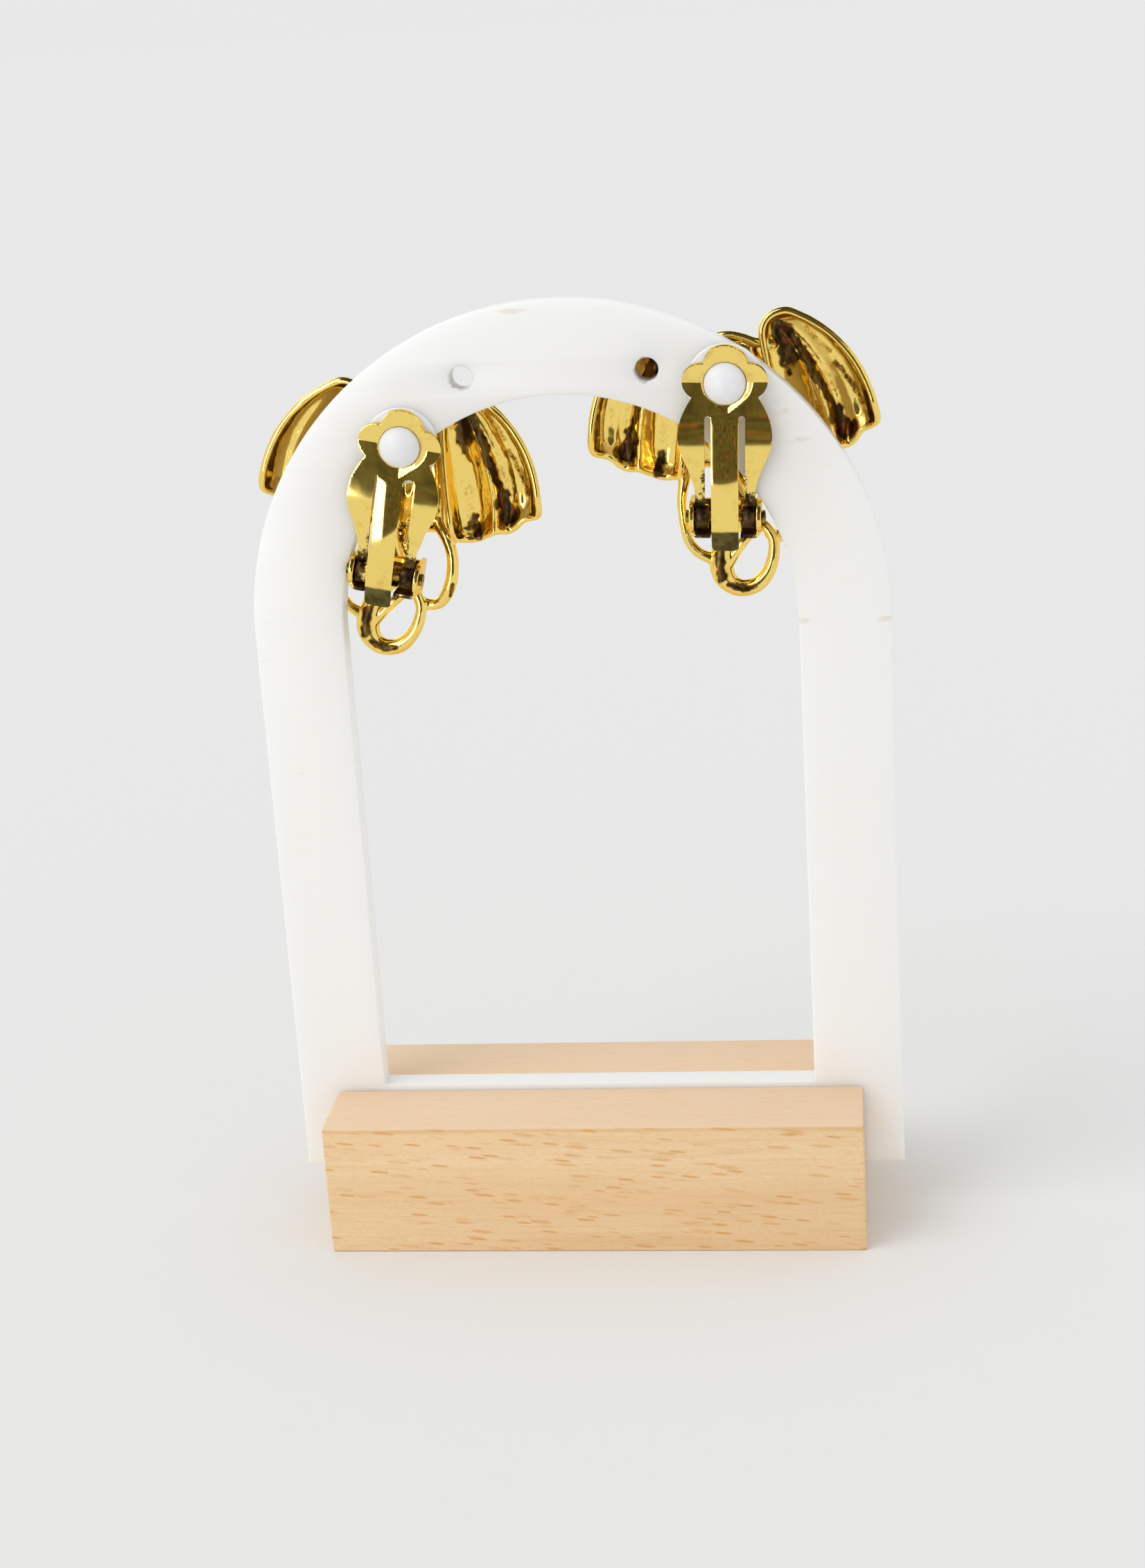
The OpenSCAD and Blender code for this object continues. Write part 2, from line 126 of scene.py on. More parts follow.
def hole_centres():
    angle = math.radians(HOLE_ANGLE)
    return [(side * HOLE_RING * math.sin(angle), ARCH_Z + HOLE_RING * math.cos(angle)) for side in (-1, 1)]


# Helpers for meshes and objects

def fix_normals(mesh):
    bm = bmesh.new()
    bm.from_mesh(mesh)
    bmesh.ops.recalc_face_normals(bm, faces=bm.faces)
    bm.to_mesh(mesh)
    bm.free()


class Parts:
    """Vertices and faces gathered from several closed forms."""

    def __init__(self, *forms):
        self.points, self.faces = [], []
        for form in forms:
            self.add(*form)

    def add(self, points, faces):
        start = len(self.points)
        self.points += [tuple(p) for p in points]
        self.faces += [tuple(start + i for i in f) for f in faces]

    def mesh(self, change=None, outward=True):
        points = np.array(self.points)
        if change:
            points = change(points)
        mesh = bpy.data.meshes.new("parts")
        mesh.from_pydata(points.tolist(), [], self.faces)
        mesh.validate()
        mesh.update()
        if outward:
            fix_normals(mesh)
        return mesh


def read(items, key, width, kind=float):
    """One vector of each vertex or edge, as rows."""
    values = np.empty(len(items) * width, kind)
    items.foreach_get(key, values)
    return values.reshape(-1, width)


def mesh_points(mesh):
    return read(mesh.vertices, "co", 3)


def set_points(mesh, points):
    mesh.vertices.foreach_set("co", points.ravel())
    mesh.update()


def set_layer(mesh, name, values):
    """Values from 0 to 1 on the vertices, which a material reads by their name."""
    layer = mesh.attributes.new(name, "FLOAT", "POINT")
    layer.data.foreach_set("value", np.clip(values, 0, 1).astype(np.float32))


def linked(name, data):
    obj = bpy.data.objects.new(name, data)
    bpy.context.scene.collection.objects.link(obj)
    return obj


def evaluated_mesh(obj):
    """The mesh that a curve or an object's modifiers make. The object is removed."""
    bpy.context.view_layer.update()
    graph = bpy.context.evaluated_depsgraph_get()
    mesh = bpy.data.meshes.new_from_object(obj.evaluated_get(graph))
    bpy.data.objects.remove(obj)
    return mesh


def modified(mesh, *modifiers):
    """What modifiers make of a mesh. Each is given as its kind and its settings."""
    obj = linked("modified", mesh)
    for kind, settings in modifiers:
        made = obj.modifiers.new(kind, kind)
        for key, value in settings.items():
            setattr(made, key, value)
    new = evaluated_mesh(obj)
    bpy.data.meshes.remove(mesh)
    return new


def bevel(width, angle):
    """A bevel in three steps along the edges that turn by more than an angle."""
    limit = math.radians(angle)
    return "BEVEL", {"width": width, "segments": 3, "limit_method": "ANGLE", "angle_limit": limit}


def band_faces(count, sides, closed=False):
    """Faces between rings of points that follow one another."""
    faces = []
    for i in range(count if closed else count - 1):
        j = (i + 1) % count
        for k in range(sides):
            m = (k + 1) % sides
            faces.append((i * sides + k, i * sides + m, j * sides + m, j * sides + k))
    return faces


def tube(path, sides, closed=False):
    """Closed tube along a path of x, y, z, radius with rounded ends."""
    path = np.asarray(path, float)
    pos, radius = path[:, :3], path[:, 3]
    n = len(pos)
    if closed:
        run = np.roll(pos, -1, 0) - np.roll(pos, 1, 0)
    else:
        run = np.gradient(pos, axis=0)
    run /= np.linalg.norm(run, axis=1)[:, None]
    side = np.cross(run[0], [0, 1, 0])
    side /= np.linalg.norm(side)
    rings = []
    for i in range(n):
        side = side - run[i] * np.dot(side, run[i])
        side /= np.linalg.norm(side)
        up = np.cross(side, run[i])
        rings.append((pos[i], radius[i], side, up))
    if not closed:
        ends = []
        for i, way in ((0, -1), (n - 1, 1)):
            p, r, s, u = rings[i]
            for turn in (30, 60, 85):
                a = math.radians(turn)
                ends.append((p + way * run[i] * r * math.sin(a), r * math.cos(a), s, u))
        rings = ends[2::-1] + rings + ends[3:]
    points = []
    for p, r, s, u in rings:
        points += [p + r * (math.cos(a) * s + math.sin(a) * u) for a in full_turn(sides)]
    count = len(rings)
    faces = band_faces(count, sides, closed)
    if not closed:
        faces.append(tuple(range(sides - 1, -1, -1)))
        faces.append(tuple((count - 1) * sides + k for k in range(sides)))
    return points, faces


def lathe(profile, sides):
    """Turns a profile of radius, y round the Y axis. Each end closes on the axis."""
    rows = [row for row in profile if row[0] > 1e-6]
    points = [(r * math.cos(a), y, r * math.sin(a)) for r, y in rows for a in full_turn(sides)]
    faces = band_faces(len(rows), sides)
    first, last = len(points), len(points) + 1
    points += [(0, profile[0][1], 0), (0, profile[-1][1], 0)]
    end = (len(rows) - 1) * sides
    for k in range(sides):
        m = (k + 1) % sides
        faces.append((first, m, k))
        faces.append((last, end + k, end + m))
    return points, faces


# The cast bow

WING_TOP = np.array([[4.2, 9.5], [4.0, 12.1], [7.0, 12.0]])
WING_MID = np.array([[4.1, 3.0], [15.2, 8.6]])
WING_BOTTOM = [
    [0, 5.9, -4.8], [0.12, 7.1, -5.1], [0.28, 8.6, -4.95], [0.42, 9.8, -4.3], [0.54, 10.7, -3.75],
    [0.66, 12.0, -3.75], [0.76, 12.9, -3.1], [0.84, 13.6, -2.2], [0.92, 14.8, -1.75], [1, 16.05, -0.9]
]
WING_FLUTES = [
    [0, 0], [0.04, 0.42], [0.09, 0.78], [0.16, 0.95], [0.27, 1.0], [0.38, 0.93], [0.47, 0.75], [0.53, 0.62],
    [0.565, 0.7], [0.62, 0.92], [0.68, 1.0], [0.75, 0.92], [0.8, 0.83], [0.86, 0.81], [0.915, 0.66],
    [0.96, 0.36], [1, 0]
]
LEFT_LOOP = [
    [-5.2, 3.9, -3.2, 0.9], [-5.9, 3.3, -5.2, 0.65], [-6.4, 3.0, -7.6, 0.52], [-6.4, 2.9, -9.8, 0.52],
    [-6.15, 3.0, -11.7, 0.55], [-5.35, 3.2, -13.1, 0.6], [-4.2, 3.4, -13.95, 0.62], [-3.0, 3.6, -14.6, 0.8]
]
RIGHT_LOOP = [
    [4.4, 3.9, -3.0, 1.0], [5.5, 3.4, -4.8, 0.7], [6.2, 3.1, -6.7, 0.66], [6.3, 3.0, -8.6, 0.7],
    [6.0, 3.1, -10.4, 0.7], [5.2, 3.3, -11.9, 0.66], [3.9, 3.5, -12.4, 0.62], [2.7, 3.5, -12.0, 0.65]
]
TEAR_LOOP = [
    [0.9, 3.5, -10.2, 0.6], [2.3, 3.2, -11.1, 0.6], [3.05, 3.0, -12.6, 0.6], [2.85, 3.0, -14.4, 0.68],
    [2.15, 3.1, -16.0, 0.76], [0.9, 3.2, -17.3, 0.88], [-0.8, 3.3, -17.7, 0.95], [-2.2, 3.4, -17.0, 1.1],
    [-2.9, 3.5, -15.6, 1.3], [-2.75, 3.6, -14.0, 1.25], [-2.3, 3.8, -12.2, 1.15], [-1.7, 4.0, -10.4, 1.15]
]
DIAGONAL = [
    [-2.3, 3.4, -15.0, 0.7], [-1.2, 3.2, -13.6, 0.6], [-0.05, 3.05, -12.3, 0.6], [1.25, 3.2, -11.0, 0.6]
]
UPPER_STRAND = [
    [-2.6, 4.0, 8.6, 0.8], [-1.2, 3.6, 9.6, 0.5], [0.6, 3.3, 9.9, 0.4], [2.2, 3.2, 9.4, 0.4],
    [3.5, 3.3, 8.7, 0.5], [5.0, 3.8, 8.4, 0.8]
]
FRONT_TAIL = [
    [1.7, 4.6, -3.4, 1.4], [1.2, 4.6, -5.6, 1.25], [0.3, 4.4, -7.8, 1.15], [-0.8, 4.1, -9.8, 1.1],
    [-1.7, 4.0, -11.4, 1.1]
]
BACK_TAIL = [
    [-1.3, 3.9, -3.2, 1.1], [-0.8, 3.6, -5.2, 0.95], [-0.1, 3.5, -7.2, 0.85], [0.7, 3.5, -9.0, 0.75],
    [1.5, 3.4, -10.6, 0.6]
]
KNOT_LEFT = [
    [-4.9, 4.1, -3.0, 1.0], [-4.6, 4.2, -0.6, 1.3], [-4.1, 4.3, 2.2, 1.45], [-3.6, 4.3, 5.2, 1.4],
    [-2.4, 4.2, 8.0, 1.2]
]
KNOT_MIDDLE = [
    [0.9, 4.9, -3.4, 1.4], [0.5, 5.1, -0.9, 1.8], [0.1, 5.7, 2.2, 2.1], [0, 5.2, 5.4, 1.9],
    [0, 4.75, 8.05, 1.5]
]
KNOT_RIGHT = [
    [4.3, 4.2, -3.0, 1.2], [4.2, 4.3, -0.6, 1.4], [3.9, 4.3, 2.2, 1.5], [3.4, 4.3, 5.2, 1.45],
    [2.3, 4.2, 8.0, 1.2]
]
RIM_R = 0.42
KNOT_WAIST_Z = 2.3
# Dark patina in the wings' folds, partly painted dark reflection and shade: points along a stroke, its half
# width and its strength
PATINA_AND_REFLECTION_STROKES = [
    ([[5.9, 10.0], [6.3, 8.6], [6.8, 6.9]], 1.0, 1.1),
    ([[6.3, 6.6], [6.6, 4.9]], 0.3, 0.85),
    ([[7.0, 9.3], [8.7, 6.2], [9.9, 3.2]], 0.5, 1.1),
    ([[9.9, 3.2], [11.1, 0.4]], 0.36, 1.0),
    ([[11.1, 0.2], [11.6, -0.9], [12.0, -2.1]], 0.72, 1.15),
    ([[8.2, -2.5], [8.8, -4.3]], 0.48, 1.05),
    ([[9.2, 0.8], [10.0, -3.2]], 0.45, 0.5),
    ([[7.3, 0.6], [7.9, -2.2]], 0.7, 0.4)
]
# More strokes of patina and painted dark reflection, on the right wing only
RIGHT_WING_STROKES = [
    ([[8.9, 9.6], [11.0, 6.9]], 0.3, 0.6),
    ([[11.6, 5.6], [13.0, 3.3], [14.0, 0.9]], 0.3, 0.75)
]
# Patina and painted dark reflection on the scrolls' faces towards the camera, which aren't mirrored
SCROLL_STROKES = [
    ([[-2.95, -13.6], [-2.9, -16.2]], 0.5, 1.05),
    ([[-2.4, -17.0], [-0.9, -17.75], [0.6, -17.4]], 0.28, 0.95),
    ([[1.0, -9.8], [2.1, -10.6]], 0.35, 0.8),
    ([[6.5, -9.6], [6.3, -11.0]], 0.2, 0.8)
]
CAST_VOXEL = 0.115


def bezier(a, b, c, t):
    return (1 - t) ** 2 * a + 2 * t * (1 - t) * b + t * t * c


def wing_xz(u, v):
    u, v = np.asarray(u, float), np.asarray(v, float)
    top = bezier(WING_TOP[0], WING_TOP[1], WING_TOP[2], u[..., None])
    mid = WING_MID[0] + (WING_MID[1] - WING_MID[0]) * u[..., None]
    return bezier(top, mid, smooth_table(WING_BOTTOM, u), v[..., None])


def wing_hollow(u, v):
    # A steep wall under the rim, a level stretch, a slope down the flutes and a lip that turns back
    wall = np.sin(math.pi / 2 * np.clip(v / 0.13, 0, 1))
    ramp = wall * (0.62 + 0.38 * smoothstep(0.28, 0.95, v)) * (1 - 0.3 * smoothstep(0.89, 1.0, v))
    flutes = smooth_table(WING_FLUTES, u)[..., 0]
    # Flutes are shallow folds near the top and deepen as they fan out
    gathered = 0.82 * np.sin(math.pi * np.clip(u, 0, 1)) ** 0.6
    mixed = gathered + (flutes - gathered) * smoothstep(0.02, 0.45, v)
    return WING_DEPTH * mixed * ramp


def wing_sheet():
    nu, nv = 96, 84
    u, v = np.meshgrid(np.linspace(0.035, 0.965, nu + 1), np.linspace(0.02, 0.985, nv + 1), indexing="ij")
    xz = wing_xz(u, v)
    y = WING_RIM_Y + wing_hollow(u, v)
    back = np.stack([xz[..., 0], y, xz[..., 1]], -1).reshape(-1, 3)
    front = back + [0, WING_WALL, 0]
    count = (nu + 1) * (nv + 1)
    faces = []

    def at(i, j):
        return i * (nv + 1) + j

    for i in range(nu):
        for j in range(nv):
            a, b, c, d = at(i, j), at(i + 1, j), at(i + 1, j + 1), at(i, j + 1)
            faces.append((a, b, c, d))
            faces.append((d + count, c + count, b + count, a + count))
    border = ([(i, 0) for i in range(nu)] + [(nu, j) for j in range(nv)]
              + [(i, nv) for i in range(nu, 0, -1)] + [(0, j) for j in range(nv, 0, -1)])
    for b, c in zip(border, border[1:] + border[:1]):
        faces.append((at(*c), at(*b), at(*b) + count, at(*c) + count))
    return np.vstack([back, front]), faces


def wing_rim():
    """Rolled lip along the wing's whole edge."""
    inset = 0.035
    steps = np.linspace(0, 1, 40)
    uv = ([(inset, 1 - t) for t in steps] + [(t, 0.015) for t in np.linspace(inset, 1 - inset, 14)]
          + [(1 - inset, t) for t in steps] + [(t, 0.985) for t in np.linspace(1 - inset, inset, 60)])
    u, v = np.array(uv).T
    v = np.clip(v, 0.015, 0.985)
    xz = wing_xz(u, v)
    depth = wing_hollow(u, v) * smoothstep(0.9, 0.985, v)
    y = WING_RIM_Y + RIM_R + depth
    path = np.stack([xz[:, 0], y, xz[:, 1], np.full(len(u), RIM_R)], 1)
    path = np.array(spaced(path, 0.12))
    for _ in range(3):
        path = 0.5 * path + 0.25 * (np.roll(path, 1, 0) + np.roll(path, -1, 0))
    return tube(path, 14, closed=True)


def ball_points(ball):
    x, y, z, r = ball
    sides = 18
    out = []
    for i in range(sides // 2 + 1):
        a = math.pi * i / (sides // 2)
        height = z + r * math.cos(a)
        out += [(px, py, height) for px, py in arc(x, y, r * math.sin(a), full_turn(sides))]
    return out


def add_hull(parts, balls):
    bm = bmesh.new()
    for ball in balls:
        for p in ball_points(ball):
            bm.verts.new(p)
    made = bmesh.ops.convex_hull(bm, input=bm.verts)
    unused = {v for v in made["geom_interior"] + made["geom_unused"] if isinstance(v, bmesh.types.BMVert)}
    bmesh.ops.delete(bm, geom=list(unused), context="VERTS")
    bm.verts.index_update()
    parts.add([v.co[:] for v in bm.verts], [[v.index for v in f.verts] for f in bm.faces])
    bm.free()


def neighbour_mean(values, edges, degree):
    total = np.zeros_like(values)
    np.add.at(total, edges[:, 0], values[edges[:, 1]])
    np.add.at(total, edges[:, 1], values[edges[:, 0]])
    return total / degree


def mesh_arrays(mesh):
    edges = read(mesh.edges, "vertices", 2, int)
    degree = np.maximum(np.bincount(edges.ravel(), minlength=len(mesh.vertices)), 1)[:, None].astype(float)
    return mesh_points(mesh), edges, degree, read(mesh.vertex_normals, "vector", 3)


def gathered_folds(points, normals):
    """Creases of the cloth that the knot gathers, and the band that holds it."""
    x, y, z = points.T
    front = smoothstep(0.15, 0.6, normals[:, 1]) * smoothstep(5.6, 4.4, np.abs(x)) * smoothstep(4.3, 5.0, y)
    front = front * smoothstep(-5.0, -3.4, z) * smoothstep(9.6, 8.2, z)
    up = z - KNOT_WAIST_Z
    waist = 0.42 + 0.58 * np.minimum(np.abs(up) / 6.0, 1)
    phase = x / (4.8 * waist)
    creases = -0.34 * np.abs(np.sin(phase * 2.6 * math.pi)) ** 1.6 + 0.12
    band = smoothstep(1.75, 1.25, np.abs(up - 0.03 * x * x))
    wrinkles = 0.07 * np.sin(3.1 * up + 0.5 * x) * band
    lift = front * ((1 - band) * creases * smoothstep(1.1, 2.4, np.abs(up)) + band * 0.28 + wrinkles)
    return points + normals * lift[:, None]


def noise_at(points, scale, finer=1.0, shift=(0, 0, 0)):
    shift = Vector(shift)
    return np.array([noise.noise(Vector(p) * scale * finer + shift) for p in points.tolist()])


def cast_wobble(points, normals, amount, scale):
    """Small unevenness of hand finished casting."""
    lift, fine = noise_at(points, scale), noise_at(points, scale, 2.9, (7, 3, 5))
    return points + normals * (amount * (lift + 0.1 * fine))[:, None]


def hollows(points, edges, degree, normals, rounds):
    """How far each point lies in a fold: positive in hollows, negative on ridges."""
    moved = points
    for _ in range(rounds):
        moved = 0.5 * moved + 0.5 * neighbour_mean(moved, edges, degree)
    return ((moved - points) * normals).sum(1)


def stroke_mask(points, strokes):
    """Ragged strokes of patina and painted dark reflection, read at points of x, y, z."""
    rag = noise_at(points, 1.3)
    flat = points[:, [0, 2]]
    best = np.zeros(len(points))
    for line, width, strength in strokes:
        line = np.array(line)
        gap = np.full(len(points), 99.0)
        for a, b in zip(line[:-1], line[1:]):
            way = b - a
            t = np.clip(((flat - a) @ way) / (way @ way), 0, 1)
            gap = np.minimum(gap, np.linalg.norm(flat - a - t[:, None] * way, axis=1))
        edge = width * (1.1 + 0.7 * rag)
        best = np.maximum(best, strength * smoothstep(1.7, 0.5, gap / np.maximum(edge, 0.05)))
    return best


def cast_bow_mesh():
    parts = Parts()
    for flip in (1, -1):
        for points, faces in (wing_sheet(), wing_rim()):
            parts.add(np.array(points) * [flip, 1, 1], [f[::flip] for f in faces])
    for side in (KNOT_LEFT, KNOT_RIGHT):
        for i in range(len(KNOT_MIDDLE) - 1):
            add_hull(parts, [side[i], side[i + 1], KNOT_MIDDLE[i], KNOT_MIDDLE[i + 1]])
    for rows in (LEFT_LOOP, RIGHT_LOOP, TEAR_LOOP, DIAGONAL, UPPER_STRAND, FRONT_TAIL, BACK_TAIL):
        parts.add(*tube(spline_path(rows, 8), 18))
    mesh = modified(parts.mesh(), ("REMESH", {"mode": "VOXEL", "voxel_size": CAST_VOXEL, "adaptivity": 0}))
    points, edges, degree, _ = mesh_arrays(mesh)
    for _ in range(7):
        points = 0.45 * points + 0.55 * neighbour_mean(points, edges, degree)
    set_points(mesh, points)
    points, _, _, normals = mesh_arrays(mesh)
    points = gathered_folds(points, normals)
    points = cast_wobble(points, normals, 0.035, 0.75)
    set_points(mesh, points)
    points, edges, degree, normals = mesh_arrays(mesh)
    fine = hollows(points, edges, degree, normals, 8)
    wide = hollows(points, edges, degree, normals, 70)
    values = np.clip(fine / 0.035, -0.5, 1) * 0.6 + np.clip(wide / 0.25, -0.6, 1) * 0.8
    inside = smoothstep(2.1, 2.7, points[:, 1]) * smoothstep(0.1, -0.1, normals[:, 1])
    inside = inside * smoothstep(4.9, 5.3, np.abs(points[:, 0]))
    # Painted dark reflection and shade along the wings' valleys, laid on with the patina strokes
    values = np.maximum(values, inside * stroke_mask(points * [[-1, 1, 1]], PATINA_AND_REFLECTION_STROKES))
    values = np.maximum(values, inside * stroke_mask(points, PATINA_AND_REFLECTION_STROKES + RIGHT_WING_STROKES))
    # Only faces turned towards the camera darken here: painted dark reflection with patina
    towards_camera = smoothstep(-0.1, -0.5, normals[:, 1]) * smoothstep(-9.0, -9.5, points[:, 2])
    values = np.maximum(values, towards_camera * stroke_mask(points, SCROLL_STROKES))
    set_layer(mesh, "patina_and_dark_reflection", values)
    return mesh


# The stamped clip

EAR_INNER, EAR_OUTER, EAR_R = 3.3, 3.85, 1.6
FLOOR_BACK, FLOOR_T, FOOT = 2.1, 0.6, 0.8
PIN_R, PIN_HEAD_R, PIN_END = 0.55, 0.68, 4.28
BARREL_R, BARREL_IN, BARREL_OUT = 1.3, 1.75, 3.2
PAD_HOLE_R, PAD_DISC_R, PAD_DOME_R, PAD_DOME_H = 2.28, 4.1, 2.2, 1.2
DISH_R, DISH_DEPTH, DISH_SLOPE, DISH_TAIL_Z = 2.72, 0.4, 0.5, -3.5
DISH_X, DISH_Z = 0.22, 0.2
TONGUE_W, ARM_GAP, TONGUE_TOP_Z = 2.9, 4.3, -3.4
TONGUE_RISE, TONGUE_ARC_R, TONGUE_BEND_Z, TONGUE_END_Z, TONGUE_SLOPE = 0.114, 40.0, -15.9, -18.2, 0.58
TONGUE_CROWN, TONGUE_CORNER = 0.13, 0.5
FLARE_Z, FLARE = 0.1, 0.15
SIDE_TOP_Z = TONGUE_TOP_Z - 0.8
# Depth below the pad's centre and half width
BODY_OUTLINE = [
    [1.2, 3.3], [1.9, 3.75], [2.8, 4.25], [3.8, 4.68], [4.9, 4.92], [5.8, 4.98], [6.8, 4.86], [7.9, 4.48],
    [9.0, 3.98], [10.2, 3.55], [11.4, 3.25], [12.6, 3.18], [14.4, 3.18]
]
FLOWER_LOBES = [[0, 1.75, 2.3], [-2.6, 0.25, 1.9], [2.6, 0.25, 1.9], [0, -0.6, 3.3]]


def body_half_width(z):
    return float(smooth_table(BODY_OUTLINE, [-z])[0, 0])


def flower_reach(angle):
    """Distance from the pad's centre to the flower's edge in one direction."""
    way = np.array([math.cos(angle), math.sin(angle)])
    best = 0
    for x, z, r in FLOWER_LOBES:
        along = x * way[0] + z * way[1]
        off = x * x + z * z - along * along
        if off < r * r:
            best = max(best, along + math.sqrt(r * r - off))
    return best


def half_outline():
    """Right half of the flower and body, from the top of the flower to the arm's end."""
    out = []
    angle = math.pi / 2
    while angle > -math.pi / 2:
        reach = flower_reach(angle)
        x, z = reach * math.cos(angle), reach * math.sin(angle)
        if z < -1.2 and x < body_half_width(z):
            break
        out.append((x, z))
        angle -= math.radians(2.5)
    for t in np.linspace(out[-1][1] - 0.12, HINGE_Z, 46):
        out.append((body_half_width(t), t))
    return out


def slot_top(arm, tongue):
    """Edge of one slot, from the arm's end up over its rounded top and down to the tongue."""
    radius = min(0.35, abs(arm - tongue) / 2)
    side = 1 if arm > tongue else -1
    top = TONGUE_TOP_Z - radius
    edge = [(arm, z) for z in np.linspace(HINGE_Z, top, 40)[1:]]
    turns = np.linspace(0, math.pi / 2, 6)
    for x, way, angles in ((arm, -side, turns[1:]), (tongue, side, turns[::-1])):
        edge += [(x + way * radius * (1 - math.cos(a)), top + radius * math.sin(a)) for a in angles]
    return edge


def paddle_loop(shift):
    """Outer edge of the paddle with its two arms and the tongue between them."""
    half, corner = half_outline(), TONGUE_CORNER
    right, left = shift + TONGUE_W / 2, shift - TONGUE_W / 2
    loop = half + [(ARM_GAP / 2, HINGE_Z)] + slot_top(ARM_GAP / 2, right)
    loop += [(right, z) for z in np.linspace(SIDE_TOP_Z, TONGUE_END_Z + corner, 50)]
    for s, c in ((1, right), (-1, left)):
        bend = [(c - s * corner + s * corner * math.cos(a), TONGUE_END_Z + corner - corner * math.sin(a))
                for a in np.linspace(0, math.pi / 2, 6)]
        loop += bend[::s]
    loop += [(left, z) for z in np.linspace(TONGUE_END_Z + corner, SIDE_TOP_Z, 50)]
    loop += slot_top(-ARM_GAP / 2, left)[::-1] + [(-ARM_GAP / 2, HINGE_Z)]
    loop += [(-x, z) for x, z in half[::-1]]
    loop = spaced(loop, 0.015)
    if math.dist(loop[0], loop[-1]) < 0.015:
        loop.pop()
    return loop


def tongue_y(z):
    s = TONGUE_TOP_Z - np.maximum(z, TONGUE_BEND_Z)
    return (PADDLE_FRONT - TONGUE_RISE * s + s * s / (2 * TONGUE_ARC_R)
            + TONGUE_SLOPE * np.maximum(0, TONGUE_BEND_Z - z))


def dish_distance(x, z):
    """Distance outside the pad's dish, which ends in a point below and runs out over the top lobe."""
    x, z = x - DISH_X, z - DISH_Z
    round_part = np.hypot(x, z) - DISH_R
    tip = -DISH_TAIL_Z
    sine = DISH_R / tip
    touch_z = -DISH_R * sine
    along = np.abs(x) * math.sqrt(1 - sine**2) + (-z - tip) * sine
    tail = np.where(z < touch_z, along, 9.0)
    channel = np.where(z > 1.2, np.abs(x) - (2.35 - 0.33 * (z - 1.2)), 9.0)
    return np.minimum(np.minimum(round_part, tail), channel)


def paddle_front_y(x, z, shift):
    s = np.maximum(0, BEND_START_Z - z)
    y = PADDLE_FRONT + s * s / (2 * ARM_BEND_R)
    y = y - FLARE * np.maximum(0, z - FLARE_Z)
    on_tongue = (z < TONGUE_TOP_Z) & (np.abs(x - shift) < TONGUE_W / 2 + 0.01)
    crown = TONGUE_CROWN * (2 * (x - shift) / TONGUE_W) ** 2
    crown = crown * smoothstep(TONGUE_TOP_Z, TONGUE_TOP_Z - 1.0, z)
    y = np.where(on_tongue, tongue_y(z) + crown, y)
    inside = np.maximum(0, -dish_distance(x, z))
    limit = DISH_DEPTH - 0.26 * smoothstep(1.4, 3.2, z)
    return y + limit * (1 - np.exp(-DISH_SLOPE * inside / limit))


def paddle_mesh(shift, place):
    bm = bmesh.new()
    edges = []
    for loop in (paddle_loop(shift), arc(0, 0, PAD_HOLE_R, np.linspace(0, 2 * math.pi, 97)[:-1])):
        made = [bm.verts.new((x, 0, z)) for x, z in loop]
        edges += [bm.edges.new((made[i], made[(i + 1) % len(made)])) for i in range(len(made))]
    bmesh.ops.triangle_fill(bm, edges=edges, use_beauty=True, use_dissolve=False, normal=(0, -1, 0))
    step = 0.16
    levels = list(np.arange(FLARE_Z - 18.4, 4.1, step)) + [TONGUE_BEND_Z, TONGUE_TOP_Z]
    cuts = [((0, 0, z), (0, 0, 1)) for z in levels]
    cuts += [((x, 0, 0), (1, 0, 0)) for x in np.arange(-4.9, 4.95, step)]
    for co, no in cuts:
        bmesh.ops.bisect_plane(bm, geom=bm.verts[:] + bm.edges[:] + bm.faces[:], dist=0.004,
                               plane_co=co, plane_no=no)
    for v in bm.verts:
        v.co.y = float(paddle_front_y(v.co.x, v.co.z, shift))
    for f in bm.faces:
        if f.normal.y > 0:
            f.normal_flip()
    bm.normal_update()
    mesh = bpy.data.meshes.new("sheet")
    bm.to_mesh(mesh)
    bm.free()
    mesh = modified(mesh, ("SOLIDIFY", {"thickness": PADDLE_T, "offset": -1}), bevel(0.07, 50))
    parts = Parts((mesh_points(mesh), [p.vertices for p in mesh.polygons]), barrel(-1), barrel(1))
    bpy.data.meshes.remove(mesh)
    return parts.mesh(lambda p: placed(p, place), outward=False)


def hinge_lathe(profile, sides, closed=False):
    """Turns a profile of x, radius round the hinge line."""
    points = [(x, y, z) for x, r in profile for y, z in arc(HINGE_Y, HINGE_Z, r, full_turn(sides))]
    return points, band_faces(len(profile), sides, closed)


def barrel(side):
    """Rolled eye of one arm: a tube round the pin with soft ends."""
    a, b, e = BARREL_IN, BARREL_OUT, 0.12
    inner = PIN_R + BORE_GAP
    profile = [(a, inner + e), (a + 0.02, BARREL_R - e), (a + e, BARREL_R), (b - e, BARREL_R),
               (b - 0.02, BARREL_R - e), (b, inner + e), (b - e, inner), (a + e, inner)]
    points, faces = hinge_lathe([(side * x, r) for x, r in profile], 40, closed=True)
    return points, [f[::side] for f in faces]


def pin_mesh(place):
    e, sides = 0.08, 32
    out = EAR_OUTER + 0.05
    half = [(0, PIN_R), (out, PIN_R), (out, PIN_HEAD_R - e), (out + 0.02, PIN_HEAD_R),
            (PIN_END - e, PIN_HEAD_R), (PIN_END - 0.02, PIN_HEAD_R - e), (PIN_END + 0.03, PIN_HEAD_R * 0.5),
            (PIN_END + 0.05, 0.02)]
    profile = [(-x, r) for x, r in half[:0:-1]] + half
    points, faces = hinge_lathe(profile, sides)
    faces.append(tuple(range(sides)))
    faces.append(tuple(range(len(points) - sides, len(points)))[::-1])
    return Parts((points, faces)).mesh(lambda p: placed(p, place))


